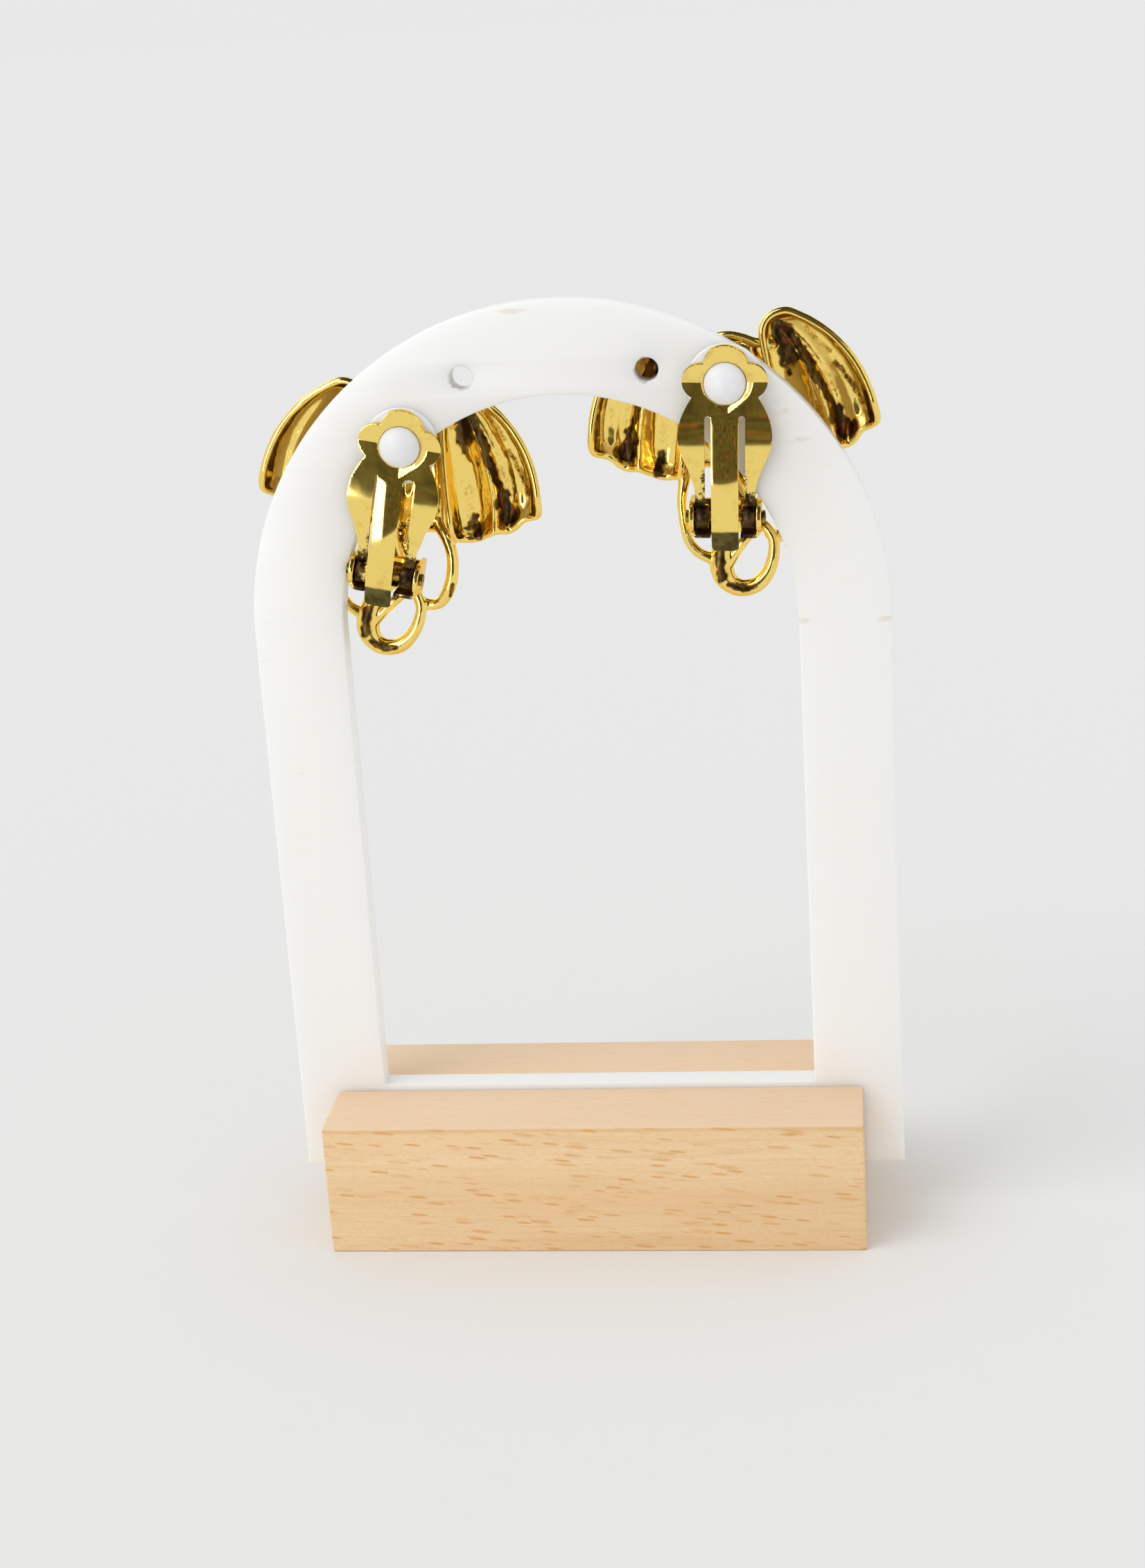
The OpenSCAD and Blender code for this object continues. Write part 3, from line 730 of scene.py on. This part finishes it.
def extruded(outline, axis, low, high):
    """Prism over an outline of two coordinates, along the axis with that index."""
    n = len(outline)
    points = [(*p[:axis], level, *p[axis:]) for level in (low, high) for p in outline]
    faces = [tuple(range(n)), tuple(range(2 * n - 1, n - 1, -1))]
    faces += [(i, n + i, n + (i + 1) % n, (i + 1) % n) for i in range(n)]
    return points, faces


def bracket_lip(side, inner):
    """Rounded corner under one ear that turns in along the bracket's foot."""
    wall, turn = 0.5, 0.9
    low, high = HINGE_Z - EAR_R - FOOT, HINGE_Z - 1.2
    centre = EAR_OUTER - turn, low + turn
    angles = np.linspace(0, -math.pi / 2, 9)
    outline = [(EAR_OUTER, high)] + arc(*centre, turn, angles) + [(inner, low), (inner, low + wall)]
    outline += arc(*centre, turn - wall, angles)[::-1] + [(EAR_OUTER - wall, high)]
    return [(side * x, z) for x, z in outline]


def bracket_mesh(shift, place):
    top = FLOOR_BACK + FLOOR_T
    ear = arc(HINGE_Y, HINGE_Z, EAR_R, np.linspace(math.pi / 2, 3 * math.pi / 2, 25))
    ear += [(FLOOR_BACK + 0.1, HINGE_Z - EAR_R), (top - 0.02, HINGE_Z - EAR_R), (top - 0.02, HINGE_Z + EAR_R)]
    parts = Parts()
    for side in (-1, 1):
        parts.add(*extruded(ear, 0, *sorted((side * EAR_INNER, side * EAR_OUTER))))
    half = [(EAR_OUTER - 0.01, HINGE_Z - EAR_R - FOOT), (EAR_OUTER - 0.01, HINGE_Z + 0.7),
            (EAR_OUTER - 0.7, HINGE_Z + 1.3)]
    floor = [(-x, z) for x, z in half[:1]] + half + [(-x, z) for x, z in half[:0:-1]]
    parts.add(*extruded(floor, 1, FLOOR_BACK, top))
    for side in (-1, 1):
        inner = side * shift + TONGUE_W / 2 + 0.15
        parts.add(*extruded(bracket_lip(side, inner), 1, HINGE_Y, FLOOR_BACK + 0.2))
    mesh = modified(parts.mesh(), bevel(0.12, 50))
    points = mesh_points(mesh)
    inside = (np.abs(points[:, 0]) < EAR_INNER + 0.06) & (points[:, 2] < HINGE_Z + 0.8)
    set_layer(mesh, "tarnish", 0.36 + 0.45 * smoothstep(-1.9, -1.3, points[:, 1]) * inside)
    set_points(mesh, placed(points, place))
    return mesh


def pad_mesh(place):
    disc, dome, edge = PAD_DISC_R, PAD_DOME_R, 0.2
    dome_r = (dome**2 + PAD_DOME_H**2) / (2 * PAD_DOME_H)
    neck = PADDLE_FRONT - 0.1
    centre = neck - PAD_DOME_H + dome_r
    profile = [(0, PAD_BACK), (disc - edge, PAD_BACK), (disc - 0.05, PAD_BACK - 0.06),
               (disc, PAD_BACK - edge), (disc, PAD_FACE + edge), (disc - 0.05, PAD_FACE + 0.06),
               (disc - edge, PAD_FACE), (dome + 0.05, PAD_FACE), (dome, PAD_FACE - 0.05), (dome, neck + 0.04)]
    for a in math.asin(dome / dome_r) * np.linspace(1, 0, 17):
        profile.append((dome_r * math.sin(a), centre - dome_r * math.cos(a)))
    return Parts(lathe(profile, 96)).mesh(lambda p: placed(p, place))


# The stand

def block_mesh():
    length, depth, height = BLOCK
    half, slot = depth / 2, PANEL_T / 2 + SLOT_GAP
    outline = [(-half, 0), (half, 0), (half, height), (slot, height), (slot, PANEL_BOTTOM),
               (-slot, PANEL_BOTTOM), (-slot, height), (-half, height)]
    mesh = Parts(extruded(outline, 0, -length / 2, length / 2)).mesh(lambda p: p * MM)
    return modified(mesh, bevel(0.28 * MM, 40))


def panel_mesh():
    curve = bpy.data.curves.new("arch_sheet", "CURVE")
    curve.dimensions = "2D"
    curve.fill_mode = "BOTH"
    edge = 0.22
    curve.extrude = PANEL_T / 2 - edge
    curve.bevel_depth = edge
    curve.bevel_resolution = 3
    curve.offset = -edge
    turns = np.linspace(0, math.pi, 181)
    outer, inner = ([(-r, foot), (r, foot)] + arc(0, ARCH_Z, r, turns)
                    for r, foot in ((ARCH_R, PANEL_BOTTOM), (ARCH_INNER_R, CROSSBAR_TOP)))
    holes = [arc(x, z, HOLE_R, np.linspace(2 * math.pi, 0, 65)[:-1]) for x, z in hole_centres()]
    for points in [outer, inner[::-1]] + holes:
        spline = curve.splines.new("POLY")
        spline.points.add(len(points) - 1)
        for target, (x, z) in zip(spline.points, points):
            target.co = (x, z, 0, 1)
        spline.use_cyclic_u = True
    mesh = evaluated_mesh(linked("arch_curve", curve))
    bm = bmesh.new()
    bm.from_mesh(mesh)
    bmesh.ops.remove_doubles(bm, verts=bm.verts, dist=1e-4)
    bm.to_mesh(mesh)
    bm.free()
    x, y, z = mesh_points(mesh).T
    set_points(mesh, np.stack([x, -z, y], 1) * MM)
    fix_normals(mesh)
    return mesh


# Materials

FLECK_SIZE, FLECK_SLOPE = 0.28, 0.09
# Faint stains on the arch: place and half sizes
STAINS = [
    (-3.95, 104.61, 1.9, 0.3), (5.43, 104.73, 1.6, 0.3), (25.32, 70.14, 0.9, 0.45), (34.58, 70.05, 1.3, 0.4),
    (-19.78, 91.29, 0.25, 0.8)
]


class Nodes:
    """Short calls for building one node tree."""

    def __init__(self, tree):
        self.tree = tree
        tree.nodes.clear()

    def new(self, kind, **settings):
        made = self.tree.nodes.new(kind)
        for key, value in settings.items():
            setattr(made, key, value)
        return made

    def link(self, output, target):
        self.tree.links.new(output, target)

    def put(self, target, value):
        if isinstance(value, bpy.types.NodeSocket):
            self.link(value, target)
        else:
            target.default_value = value

    def fill(self, sockets, values):
        for name, value in values.items():
            self.put(sockets[name], value)

    def math(self, kind, a, b):
        made = self.new("ShaderNodeMath", operation=kind)
        self.put(made.inputs[0], a)
        self.put(made.inputs[1], b)
        return made.outputs[0]

    def add(self, a, b):
        return self.math("ADD", a, b)

    def most(self, a, b):
        return self.math("MAXIMUM", a, b)

    def times(self, first, *others):
        for other in others:
            first = self.math("MULTIPLY", first, other)
        return first

    def swing(self, value, amount):
        """How far a noise is from its middle, times an amount."""
        return self.times(self.math("SUBTRACT", value, 0.5), amount)

    def attribute(self, name):
        return self.new("ShaderNodeAttribute", attribute_name=name).outputs["Fac"]

    def ramp(self, value, low, high, to_low=0.0, to_high=1.0):
        made = self.new("ShaderNodeMapRange", interpolation_type="SMOOTHSTEP")
        self.fill(made.inputs, {"Value": value, "From Min": low, "From Max": high,
                                "To Min": to_low, "To Max": to_high})
        return made.outputs["Result"]

    def mix(self, factor, a, b):
        made = self.new("ShaderNodeMix", data_type="RGBA")
        self.fill(made.inputs, {"Factor": factor, "A": a, "B": b})
        return made.outputs["Result"]

    def noise(self, size, detail, rough, **where):
        made = self.new("ShaderNodeTexNoise")
        self.fill(made.inputs, {"Vector": self.place(**where), "Scale": size, "Detail": detail,
                                "Roughness": rough})
        return made.outputs["Fac"]

    def place(self, scale=(1, 1, 1), shift=(0, 0, 0)):
        coord = self.new("ShaderNodeTexCoord")
        made = self.new("ShaderNodeMapping")
        self.fill(made.inputs, {"Vector": coord.outputs["Object"], "Scale": scale, "Location": shift})
        return made.outputs["Vector"]

    def bump(self, height, strength, distance):
        made = self.new("ShaderNodeBump")
        self.fill(made.inputs, {"Height": height, "Strength": strength, "Distance": distance})
        return made.outputs["Normal"]


def new_material(name):
    material = bpy.data.materials.new(name)
    material.use_nodes = True
    nodes = Nodes(material.node_tree)
    shader = nodes.new("ShaderNodeBsdfPrincipled")
    output = nodes.new("ShaderNodeOutputMaterial")
    nodes.link(shader.outputs["BSDF"], output.inputs["Surface"])
    return material, nodes, shader.inputs


PALE_GOLD = (1.0, 0.74, 0.20, 1)
EDGE_GOLD = (0.95, 0.75, 0.35, 1)
AMBER = (0.58, 0.30, 0.025, 1)
DARK_PLATE = (0.045, 0.027, 0.012, 1)


def cast_gold():
    """Bright antique plate whose folds keep a brown to black patina, with painted dark reflection and shade
    along some folds.
    """
    material, n, s = new_material("antique_gold_cast")
    fine = n.noise(3600.0, 5.0, 0.7, scale=(1, 1, 0.6))
    patches = n.noise(420.0, 4.0, 0.6, shift=(0.01, 0.02, 0.0))
    value = n.add(n.add(n.attribute("patina_and_dark_reflection"), n.swing(patches, 0.55)), n.swing(fine, 1.1))
    streaks = n.noise(1300.0, 3.0, 0.6, scale=(1, 1, 0.35), shift=(0.0, 0.01, 0.02))
    plate = n.mix(n.ramp(streaks, 0.42, 0.62), DARK_PLATE, (0.17, 0.11, 0.035, 1))
    plate = n.mix(n.ramp(patches, 0.58, 0.66), plate, (0.20, 0.065, 0.02, 1))
    base = n.mix(n.ramp(value, 0.30, 0.75), PALE_GOLD, AMBER)
    n.fill(s, {
        "Base Color": n.mix(n.ramp(value, 0.66, 0.86), base, plate),
        "Metallic": 1.0,
        "Specular Tint": EDGE_GOLD,
        "Roughness": n.add(n.ramp(value, 0.3, 0.95, 0.07, 0.30), n.times(fine, 0.06)),
        "Normal": n.bump(n.noise(900.0, 4.0, 0.6), 0.12, 0.00006)
    })
    return material


def stamped_gold():
    """Mirror bright stamped sheet with tarnish along the arms' ends and edges, and painted dark reflection on
    the tongue's end below its bend.
    """
    material, n, s = new_material("antique_gold_sheet")
    fine = n.noise(3000.0, 5.0, 0.7)
    patches = n.noise(650.0, 4.0, 0.6, shift=(0.03, 0.0, 0.01))
    value = n.add(n.add(n.attribute("tarnish"), n.swing(fine, 1.1)), n.swing(patches, 0.7))
    plate = n.mix(n.ramp(patches, 0.4, 0.62), (0.12, 0.07, 0.03, 1), (0.025, 0.015, 0.008, 1))
    # Dark olive painted on the tongue's end below its bend, as painted dark reflection
    painted_dark_reflection = n.mix(n.ramp(patches, 0.35, 0.65), (0.075, 0.06, 0.018, 1), (0.16, 0.13, 0.045, 1))
    base = n.mix(n.ramp(patches, 0.52, 0.75, 0.0, 0.35), PALE_GOLD, AMBER)
    base = n.mix(n.attribute("painted_dark_reflection"), base, painted_dark_reflection)
    n.fill(s, {
        "Base Color": n.mix(n.ramp(value, 0.5, 0.72), base, plate),
        "Metallic": 1.0,
        "Specular Tint": EDGE_GOLD,
        "Roughness": n.add(n.ramp(value, 0.4, 0.8, 0.045, 0.38), n.times(patches, 0.03)),
        "Normal": n.bump(n.noise(330.0, 2.0, 0.5, scale=(1, 1, 0.45)), 0.22, 0.00005)
    })
    return material


def dark_brass():
    """Tarnished brass of the hinge pins."""
    material, n, s = new_material("tarnished_brass")
    patches = n.noise(1500.0, 5.0, 0.65)
    n.fill(s, {
        "Base Color": n.mix(n.ramp(patches, 0.42, 0.62), (0.50, 0.31, 0.06, 1), (0.07, 0.035, 0.012, 1)),
        "Metallic": 1.0,
        "Roughness": n.ramp(patches, 0.3, 0.7, 0.16, 0.5),
        "Normal": n.bump(patches, 0.35, 0.00008)
    })
    return material


def silicone():
    material, n, s = new_material("white_silicone")
    cloud = n.noise(260.0, 3.0, 0.5)
    n.fill(s, {
        "Base Color": n.mix(n.ramp(cloud, 0.3, 0.7), (0.90, 0.90, 0.90, 1), (0.84, 0.84, 0.86, 1)),
        "Subsurface Weight": 0.6,
        "Subsurface Radius": (1.0, 0.95, 0.9),
        "Subsurface Scale": 0.0012,
        "Roughness": n.ramp(cloud, 0.3, 0.7, 0.30, 0.40),
        "Normal": n.bump(n.noise(1300.0, 2.0, 0.5), 0.05, 0.00003)
    })
    return material


def acrylic():
    """Opal sheet with faint rub marks, and grime round the post holes."""
    material, n, s = new_material("opal_acrylic")
    marks = n.noise(210.0, 6.0, 0.62, scale=(1, 1, 3.2))
    broad = n.noise(26.0, 2.0, 0.5)
    grain = n.noise(2000.0, 4.0, 0.65, scale=(0.5, 1, 1))

    def spot(x, z, rx, rz):
        """Distance from a place on the sheet, 1 at the edge of an ellipse."""
        away = n.new("ShaderNodeVectorMath", operation="LENGTH")
        n.link(n.place(scale=(1 / rx / MM, 0, 1 / rz / MM), shift=(-x / rx, 0, -z / rz)), away.inputs[0])
        return n.add(away.outputs["Value"], n.math("SUBTRACT", grain, 0.5))

    stain, grime = n.times(n.ramp(marks, 0.64, 0.76), n.ramp(broad, 0.52, 0.66)), 0.0
    for x, z, rx, rz in STAINS:
        stain = n.most(n.times(n.ramp(spot(x, z, rx, rz), 1.15, 0.5), n.ramp(marks, 0.38, 0.55)), stain)
    for x, z in hole_centres():
        grime = n.most(n.ramp(spot(x - 0.03, z - 0.05, HOLE_R, HOLE_R), 1.08, 0.96), grime)
    base = n.mix(n.ramp(broad, 0.35, 0.7, 0.0, 0.5), (0.915, 0.903, 0.884, 1), (0.90, 0.88, 0.85, 1))
    base = n.mix(n.times(stain, 0.3), base, (0.60, 0.46, 0.28, 1))
    n.fill(s, {
        "Base Color": n.mix(n.times(grime, 0.45), base, (0.25, 0.22, 0.19, 1)),
        "Subsurface Weight": 0.8,
        "Subsurface Radius": (1.0, 0.96, 0.90),
        "Subsurface Scale": 0.003,
        "Specular IOR Level": 0.35,
        "Roughness": n.ramp(marks, 0.4, 0.75, 0.28, 0.40),
        "Normal": n.bump(n.noise(60.0, 2.0, 0.5), 0.03, 0.0004)
    })
    return material


def beech():
    """Pale steamed beech: straight grain along X, with short ray flecks on the sides, a painted paler top and
    painted shade below its edge.
    """
    material, n, s = new_material("beech")
    fibre = n.noise(2300.0, 4.0, 0.6, scale=(0.04, 1, 1))
    bands = n.noise(230.0, 3.0, 0.55, scale=(0.05, 0.6, 1))
    pores = n.noise(4600.0, 3.0, 0.6, scale=(0.3, 1, 1))
    where = n.new("ShaderNodeSeparateXYZ")
    n.link(n.place(), where.inputs[0])
    x, _, z = where.outputs
    high = BLOCK[2]
    # Painted light: the top face is painted paler and greyer than the sides
    top = n.ramp(z, (high - 0.22) * MM, (high - 0.05) * MM)
    # Painted shade: a darker band on the sides just below the top edge
    edge = n.times(n.ramp(z, (high - 0.75) * MM, (high - 0.35) * MM), n.math("SUBTRACT", 1.0, top))
    slope = n.new("ShaderNodeCombineXYZ")
    n.link(n.times(x, FLECK_SLOPE), slope.inputs["Z"])
    flecks = 0.0
    for shift, scale in (((0, 0, 0), 1150.0), ((0.37, 0.11, 0.23), 1500.0)):
        tilted = n.new("ShaderNodeVectorMath", operation="ADD")
        n.link(n.place(scale=(0.15, 1, 1), shift=shift), tilted.inputs[0])
        n.link(slope.outputs[0], tilted.inputs[1])
        cells = n.new("ShaderNodeTexVoronoi", feature="F1")
        n.fill(cells.inputs, {"Vector": tilted.outputs[0], "Scale": scale})
        spot = n.ramp(n.add(cells.outputs["Distance"], n.swing(fibre, 0.22)), FLECK_SIZE, FLECK_SIZE * 0.6)
        flecks = n.most(n.times(spot, n.ramp(cells.outputs["Color"], 0.1, 0.55, 0.3, 1.0)), flecks)
    base = n.mix(n.ramp(bands, 0.3, 0.72), (0.93, 0.670, 0.395, 1), (0.87, 0.590, 0.320, 1))
    base = n.mix(n.ramp(fibre, 0.42, 0.8, 0.0, 0.4), base, (0.72, 0.44, 0.20, 1))
    base = n.mix(n.ramp(pores, 0.48, 0.72, 0.0, 0.4), base, (0.76, 0.47, 0.22, 1))
    # Painted shade under the top edge
    base = n.mix(n.times(edge, 0.35), base, (0.70, 0.36, 0.12, 1))
    # Painted light on the top face
    base = n.mix(n.times(top, 0.8), base, (0.84, 0.62, 0.43, 1))
    seen = n.times(flecks, n.math("SUBTRACT", 0.72, n.times(top, 0.58)))
    grooves = n.math("SUBTRACT", n.times(fibre, 0.6), n.times(flecks, 0.4))
    n.fill(s, {
        "Base Color": n.mix(seen, base, (0.75, 0.35, 0.10, 1)),
        "Roughness": n.ramp(fibre, 0.3, 0.7, 0.48, 0.62),
        "Specular IOR Level": 0.3,
        "Normal": n.bump(grooves, 0.25, 0.00008)
    })
    return material


# Building the pieces

def piece(name, mesh, material, body, slot, *nodes, sharp=None):
    """Smooth shaded object, with sharp edges where it turns by more than an angle."""
    mesh.name = name
    mesh.shade_smooth()
    if sharp:
        mesh.set_sharp_from_angle(angle=math.radians(sharp))
    mesh.materials.clear()
    mesh.materials.append(material)
    obj = linked(name, mesh)
    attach(obj, body)
    if nodes:
        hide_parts(*nodes)


def mark_tarnish(mesh, shift, place):
    """Tarnish gathers on the arms towards the hinge, on the barrels and along the sheet's edges."""
    p = mesh_points(mesh) / MM
    t = math.radians(place[2])
    dx, dz = p[:, 0] - place[0], p[:, 2] - place[1]
    x = dx * math.cos(t) + dz * math.sin(t)
    z = -dx * math.sin(t) + dz * math.cos(t)
    arms = smoothstep(-10.0, -12.8, z) * smoothstep(1.7, 2.0, np.abs(x))
    inner = smoothstep(3.0, 2.2, np.abs(x)) * smoothstep(1.95, 2.05, np.abs(x)) * smoothstep(-7.4, -10.4, z)
    edge = smoothstep(0.01, 0.05, p[:, 1] - paddle_front_y(x, z, shift)) * smoothstep(-13, -12, z) * 0.4
    barrels = smoothstep(-12.9, -13.3, z) * smoothstep(1.7, 1.8, np.abs(x))
    value = 0.12 + 0.68 * np.maximum(arms, 0.75 * inner) + edge * smoothstep(0.4, 0.2, arms)
    value = np.maximum(value, 0.95 * barrels * (np.abs(x - shift) > TONGUE_W / 2 + 0.05))
    set_layer(mesh, "tarnish", value)
    # The tongue's end below its bend gets painted dark reflection
    set_layer(mesh, "painted_dark_reflection", smoothstep(TONGUE_BEND_Z + 0.03, TONGUE_BEND_Z - 0.03, z))


wood, white, cast, sheet = beech(), acrylic(), cast_gold(), stamped_gold()
pin_metal, pad_white = dark_brass(), silicone()

piece("beech_block", block_mesh(), wood, "stand", "wood", "wood_block", sharp=25)
piece("arch_sheet", panel_mesh(), white, "stand", "acrylic", "arch_panel", sharp=28)

bow_mesh = cast_bow_mesh()
for side, bow_place, clip_place, shift in (("left", LEFT_BOW, LEFT_CLIP, LEFT_SHIFT),
                                           ("right", RIGHT_BOW, RIGHT_CLIP, 0.0)):
    clip = side + "_clip"
    casting = bow_mesh.copy()
    set_points(casting, placed(mesh_points(casting), bow_place))
    piece(side + "_bow_casting", casting, cast, "stand", "gold", side + "_bow")
    piece(clip + "_bracket", bracket_mesh(shift, clip_place), sheet, "stand", "gold", sharp=40)
    piece(side + "_pin", pin_mesh(clip_place), pin_metal, "stand", "pin", side + "_hinge_pin", sharp=40)
    plate = paddle_mesh(shift, clip_place)
    mark_tarnish(plate, shift, clip_place)
    piece(clip + "_paddle", plate, sheet, clip, "gold", side + "_paddle")
    piece(clip + "_pad", pad_mesh(clip_place), pad_white, clip, "pad", side + "_pad")
bpy.data.meshes.remove(bow_mesh)


# Floor, lights and camera

# Pitch, yaw and roll in degrees, place in millimetres, and the lens in pixels of the photograph's long side
CAMERA_TURN, CAMERA_PLACE = (17.31, -7.33, -3.65), (32.64, -260.65, 133.79)
FOCAL_PIXELS, LONG_SIDE, SENSOR = 3550, 2263, 36


def stage_sheet(name, corners):
    """One plain face on the stage, which isn't part of the object."""
    mesh = bpy.data.meshes.new(name)
    mesh.from_pydata(corners, [], [(0, 1, 2, 3)])
    obj = linked(name, mesh)
    return obj


def studio_floor():
    r = 40.0
    floor = stage_sheet("studio_floor", [(-r, -r, 0), (r, -r, 0), (r, r, 0), (-r, r, 0)])
    material, n, s = new_material("pale_floor")
    n.fill(s, {"Base Color": (0.80, 0.795, 0.785, 1), "Roughness": 1.0, "Specular IOR Level": 0.0})
    floor.data.materials.append(material)


def reflected_card(name, left, right, high):
    """Upright sheet in front of the stand that only mirror like surfaces see, and its node tree."""
    y, low = -0.262, 0.0005
    card = stage_sheet(name, [(left, y, low), (right, y, low), (right, y, high), (left, y, high)])
    for ray in ("camera", "diffuse", "transmission", "volume_scatter", "shadow"):
        setattr(card, "visible_" + ray, False)
    material = bpy.data.materials.new(name)
    material.use_nodes = True
    card.data.materials.append(material)
    n = Nodes(material.node_tree)
    glow = n.new("ShaderNodeEmission")
    output = n.new("ShaderNodeOutputMaterial")
    n.link(glow.outputs[0], output.inputs["Surface"])
    return n, glow.inputs


def dark_room():
    """Unlit room behind the camera, with a few warm things in it."""
    n, glow = reflected_card("dark_room", -0.086, 0.13, 0.26)
    mottle = n.noise(210.0, 5.0, 0.62, scale=(1, 1, 0.5))
    streak = n.noise(130.0, 3.0, 0.6, scale=(1.5, 1, 0.4), shift=(0.2, 0, 0.1))
    colour = n.mix(n.ramp(mottle, 0.36, 0.70), (0.030, 0.030, 0.022, 1), (0.21, 0.20, 0.12, 1))
    colour = n.mix(n.ramp(streak, 0.585, 0.66), colour, (0.45, 0.15, 0.05, 1))
    n.link(colour, glow["Color"])


def window():
    """Bright window left of the dark room."""
    n, glow = reflected_card("window", -0.17, -0.087, 0.15)
    streak = n.noise(60.0, 2.0, 0.5, scale=(1, 1, 0.3))
    n.link(n.mix(streak, (1.0, 0.99, 0.96, 1), (0.9, 0.92, 0.95, 1)), glow["Color"])
    glow["Strength"].default_value = 5.0


def studio_world():
    """Pale room: plain for the camera, with bright sheets and darker gaps for the metal to mirror."""
    world = bpy.data.worlds.new("studio")
    bpy.context.scene.world = world
    world.use_nodes = True
    n = Nodes(world.node_tree)
    coord = n.new("ShaderNodeTexCoord")
    split = n.new("ShaderNodeSeparateXYZ")
    n.link(coord.outputs["Generated"], split.inputs[0])
    x, y, z = split.outputs
    low = n.ramp(z, 0.16, 0.10)
    left = n.times(n.ramp(x, -0.30, -0.34), n.ramp(z, 0.72, 0.66))
    right = n.times(n.ramp(x, 0.45, 0.52), n.ramp(z, 0.55, 0.5))
    backdrop = n.times(n.ramp(y, 0.2, 0.28), n.ramp(z, 0.6, 0.5))
    lit = n.most(n.most(low, left), n.most(right, backdrop))
    strip = n.times(n.ramp(x, -0.32, -0.34), n.ramp(x, -0.50, -0.48))
    strip = n.times(strip, n.times(n.ramp(z, -0.12, -0.08), n.ramp(z, 0.5, 0.45)))
    mirror = n.mix(lit, (0.060, 0.056, 0.036, 1), (0.84, 0.83, 0.81, 1))
    seen, glossy, soft = (n.new("ShaderNodeBackground") for _ in range(3))
    n.fill(seen.inputs, {"Color": (0.805, 0.811, 0.802, 1)})
    n.fill(glossy.inputs, {"Color": n.mix(strip, mirror, (4.0, 3.95, 3.85, 1))})
    n.fill(soft.inputs, {"Color": (0.97, 0.99, 1.0, 1), "Strength": 0.83})
    path = n.new("ShaderNodeLightPath")
    shown = soft.outputs[0]
    for ray, background in (("Is Glossy Ray", glossy), ("Is Camera Ray", seen)):
        chosen = n.new("ShaderNodeMixShader")
        n.link(path.outputs[ray], chosen.inputs["Fac"])
        n.link(shown, chosen.inputs[1])
        n.link(background.outputs[0], chosen.inputs[2])
        shown = chosen.outputs[0]
    output = n.new("ShaderNodeOutputWorld")
    n.link(shown, output.inputs["Surface"])


def window_light():
    lamp = bpy.data.lights.new("window_light", "SUN")
    lamp.energy = 0.85
    lamp.angle = math.radians(38)
    lamp.color = (1.0, 0.985, 0.96)
    towards = Vector((0.62, 0.42, -0.85))
    linked("window_light", lamp).rotation_euler = towards.to_track_quat("-Z", "Y").to_euler()


def photo_camera():
    pitch, yaw, roll = (math.radians(a) for a in CAMERA_TURN)
    forward = Vector((math.sin(yaw) * math.cos(pitch), math.cos(yaw) * math.cos(pitch), -math.sin(pitch)))
    level = Vector((math.cos(yaw), -math.sin(yaw), 0))
    rise = level.cross(forward)
    right = math.cos(roll) * level + math.sin(roll) * rise
    up = -math.sin(roll) * level + math.cos(roll) * rise
    data = bpy.data.cameras.new("photo_camera")
    data.sensor_width = SENSOR
    data.lens = FOCAL_PIXELS / LONG_SIDE * SENSOR
    data.clip_start, data.clip_end = 0.01, 200
    camera = linked("photo_camera", data)
    turn = Matrix((right, up, -forward)).transposed()
    camera.matrix_world = Matrix.Translation(Vector(CAMERA_PLACE) * MM) @ turn.to_4x4()
    bpy.context.scene.camera = camera


studio_floor()
dark_room()
window()
studio_world()
bpy.context.scene.view_settings.view_transform = "Standard"
window_light()
photo_camera()
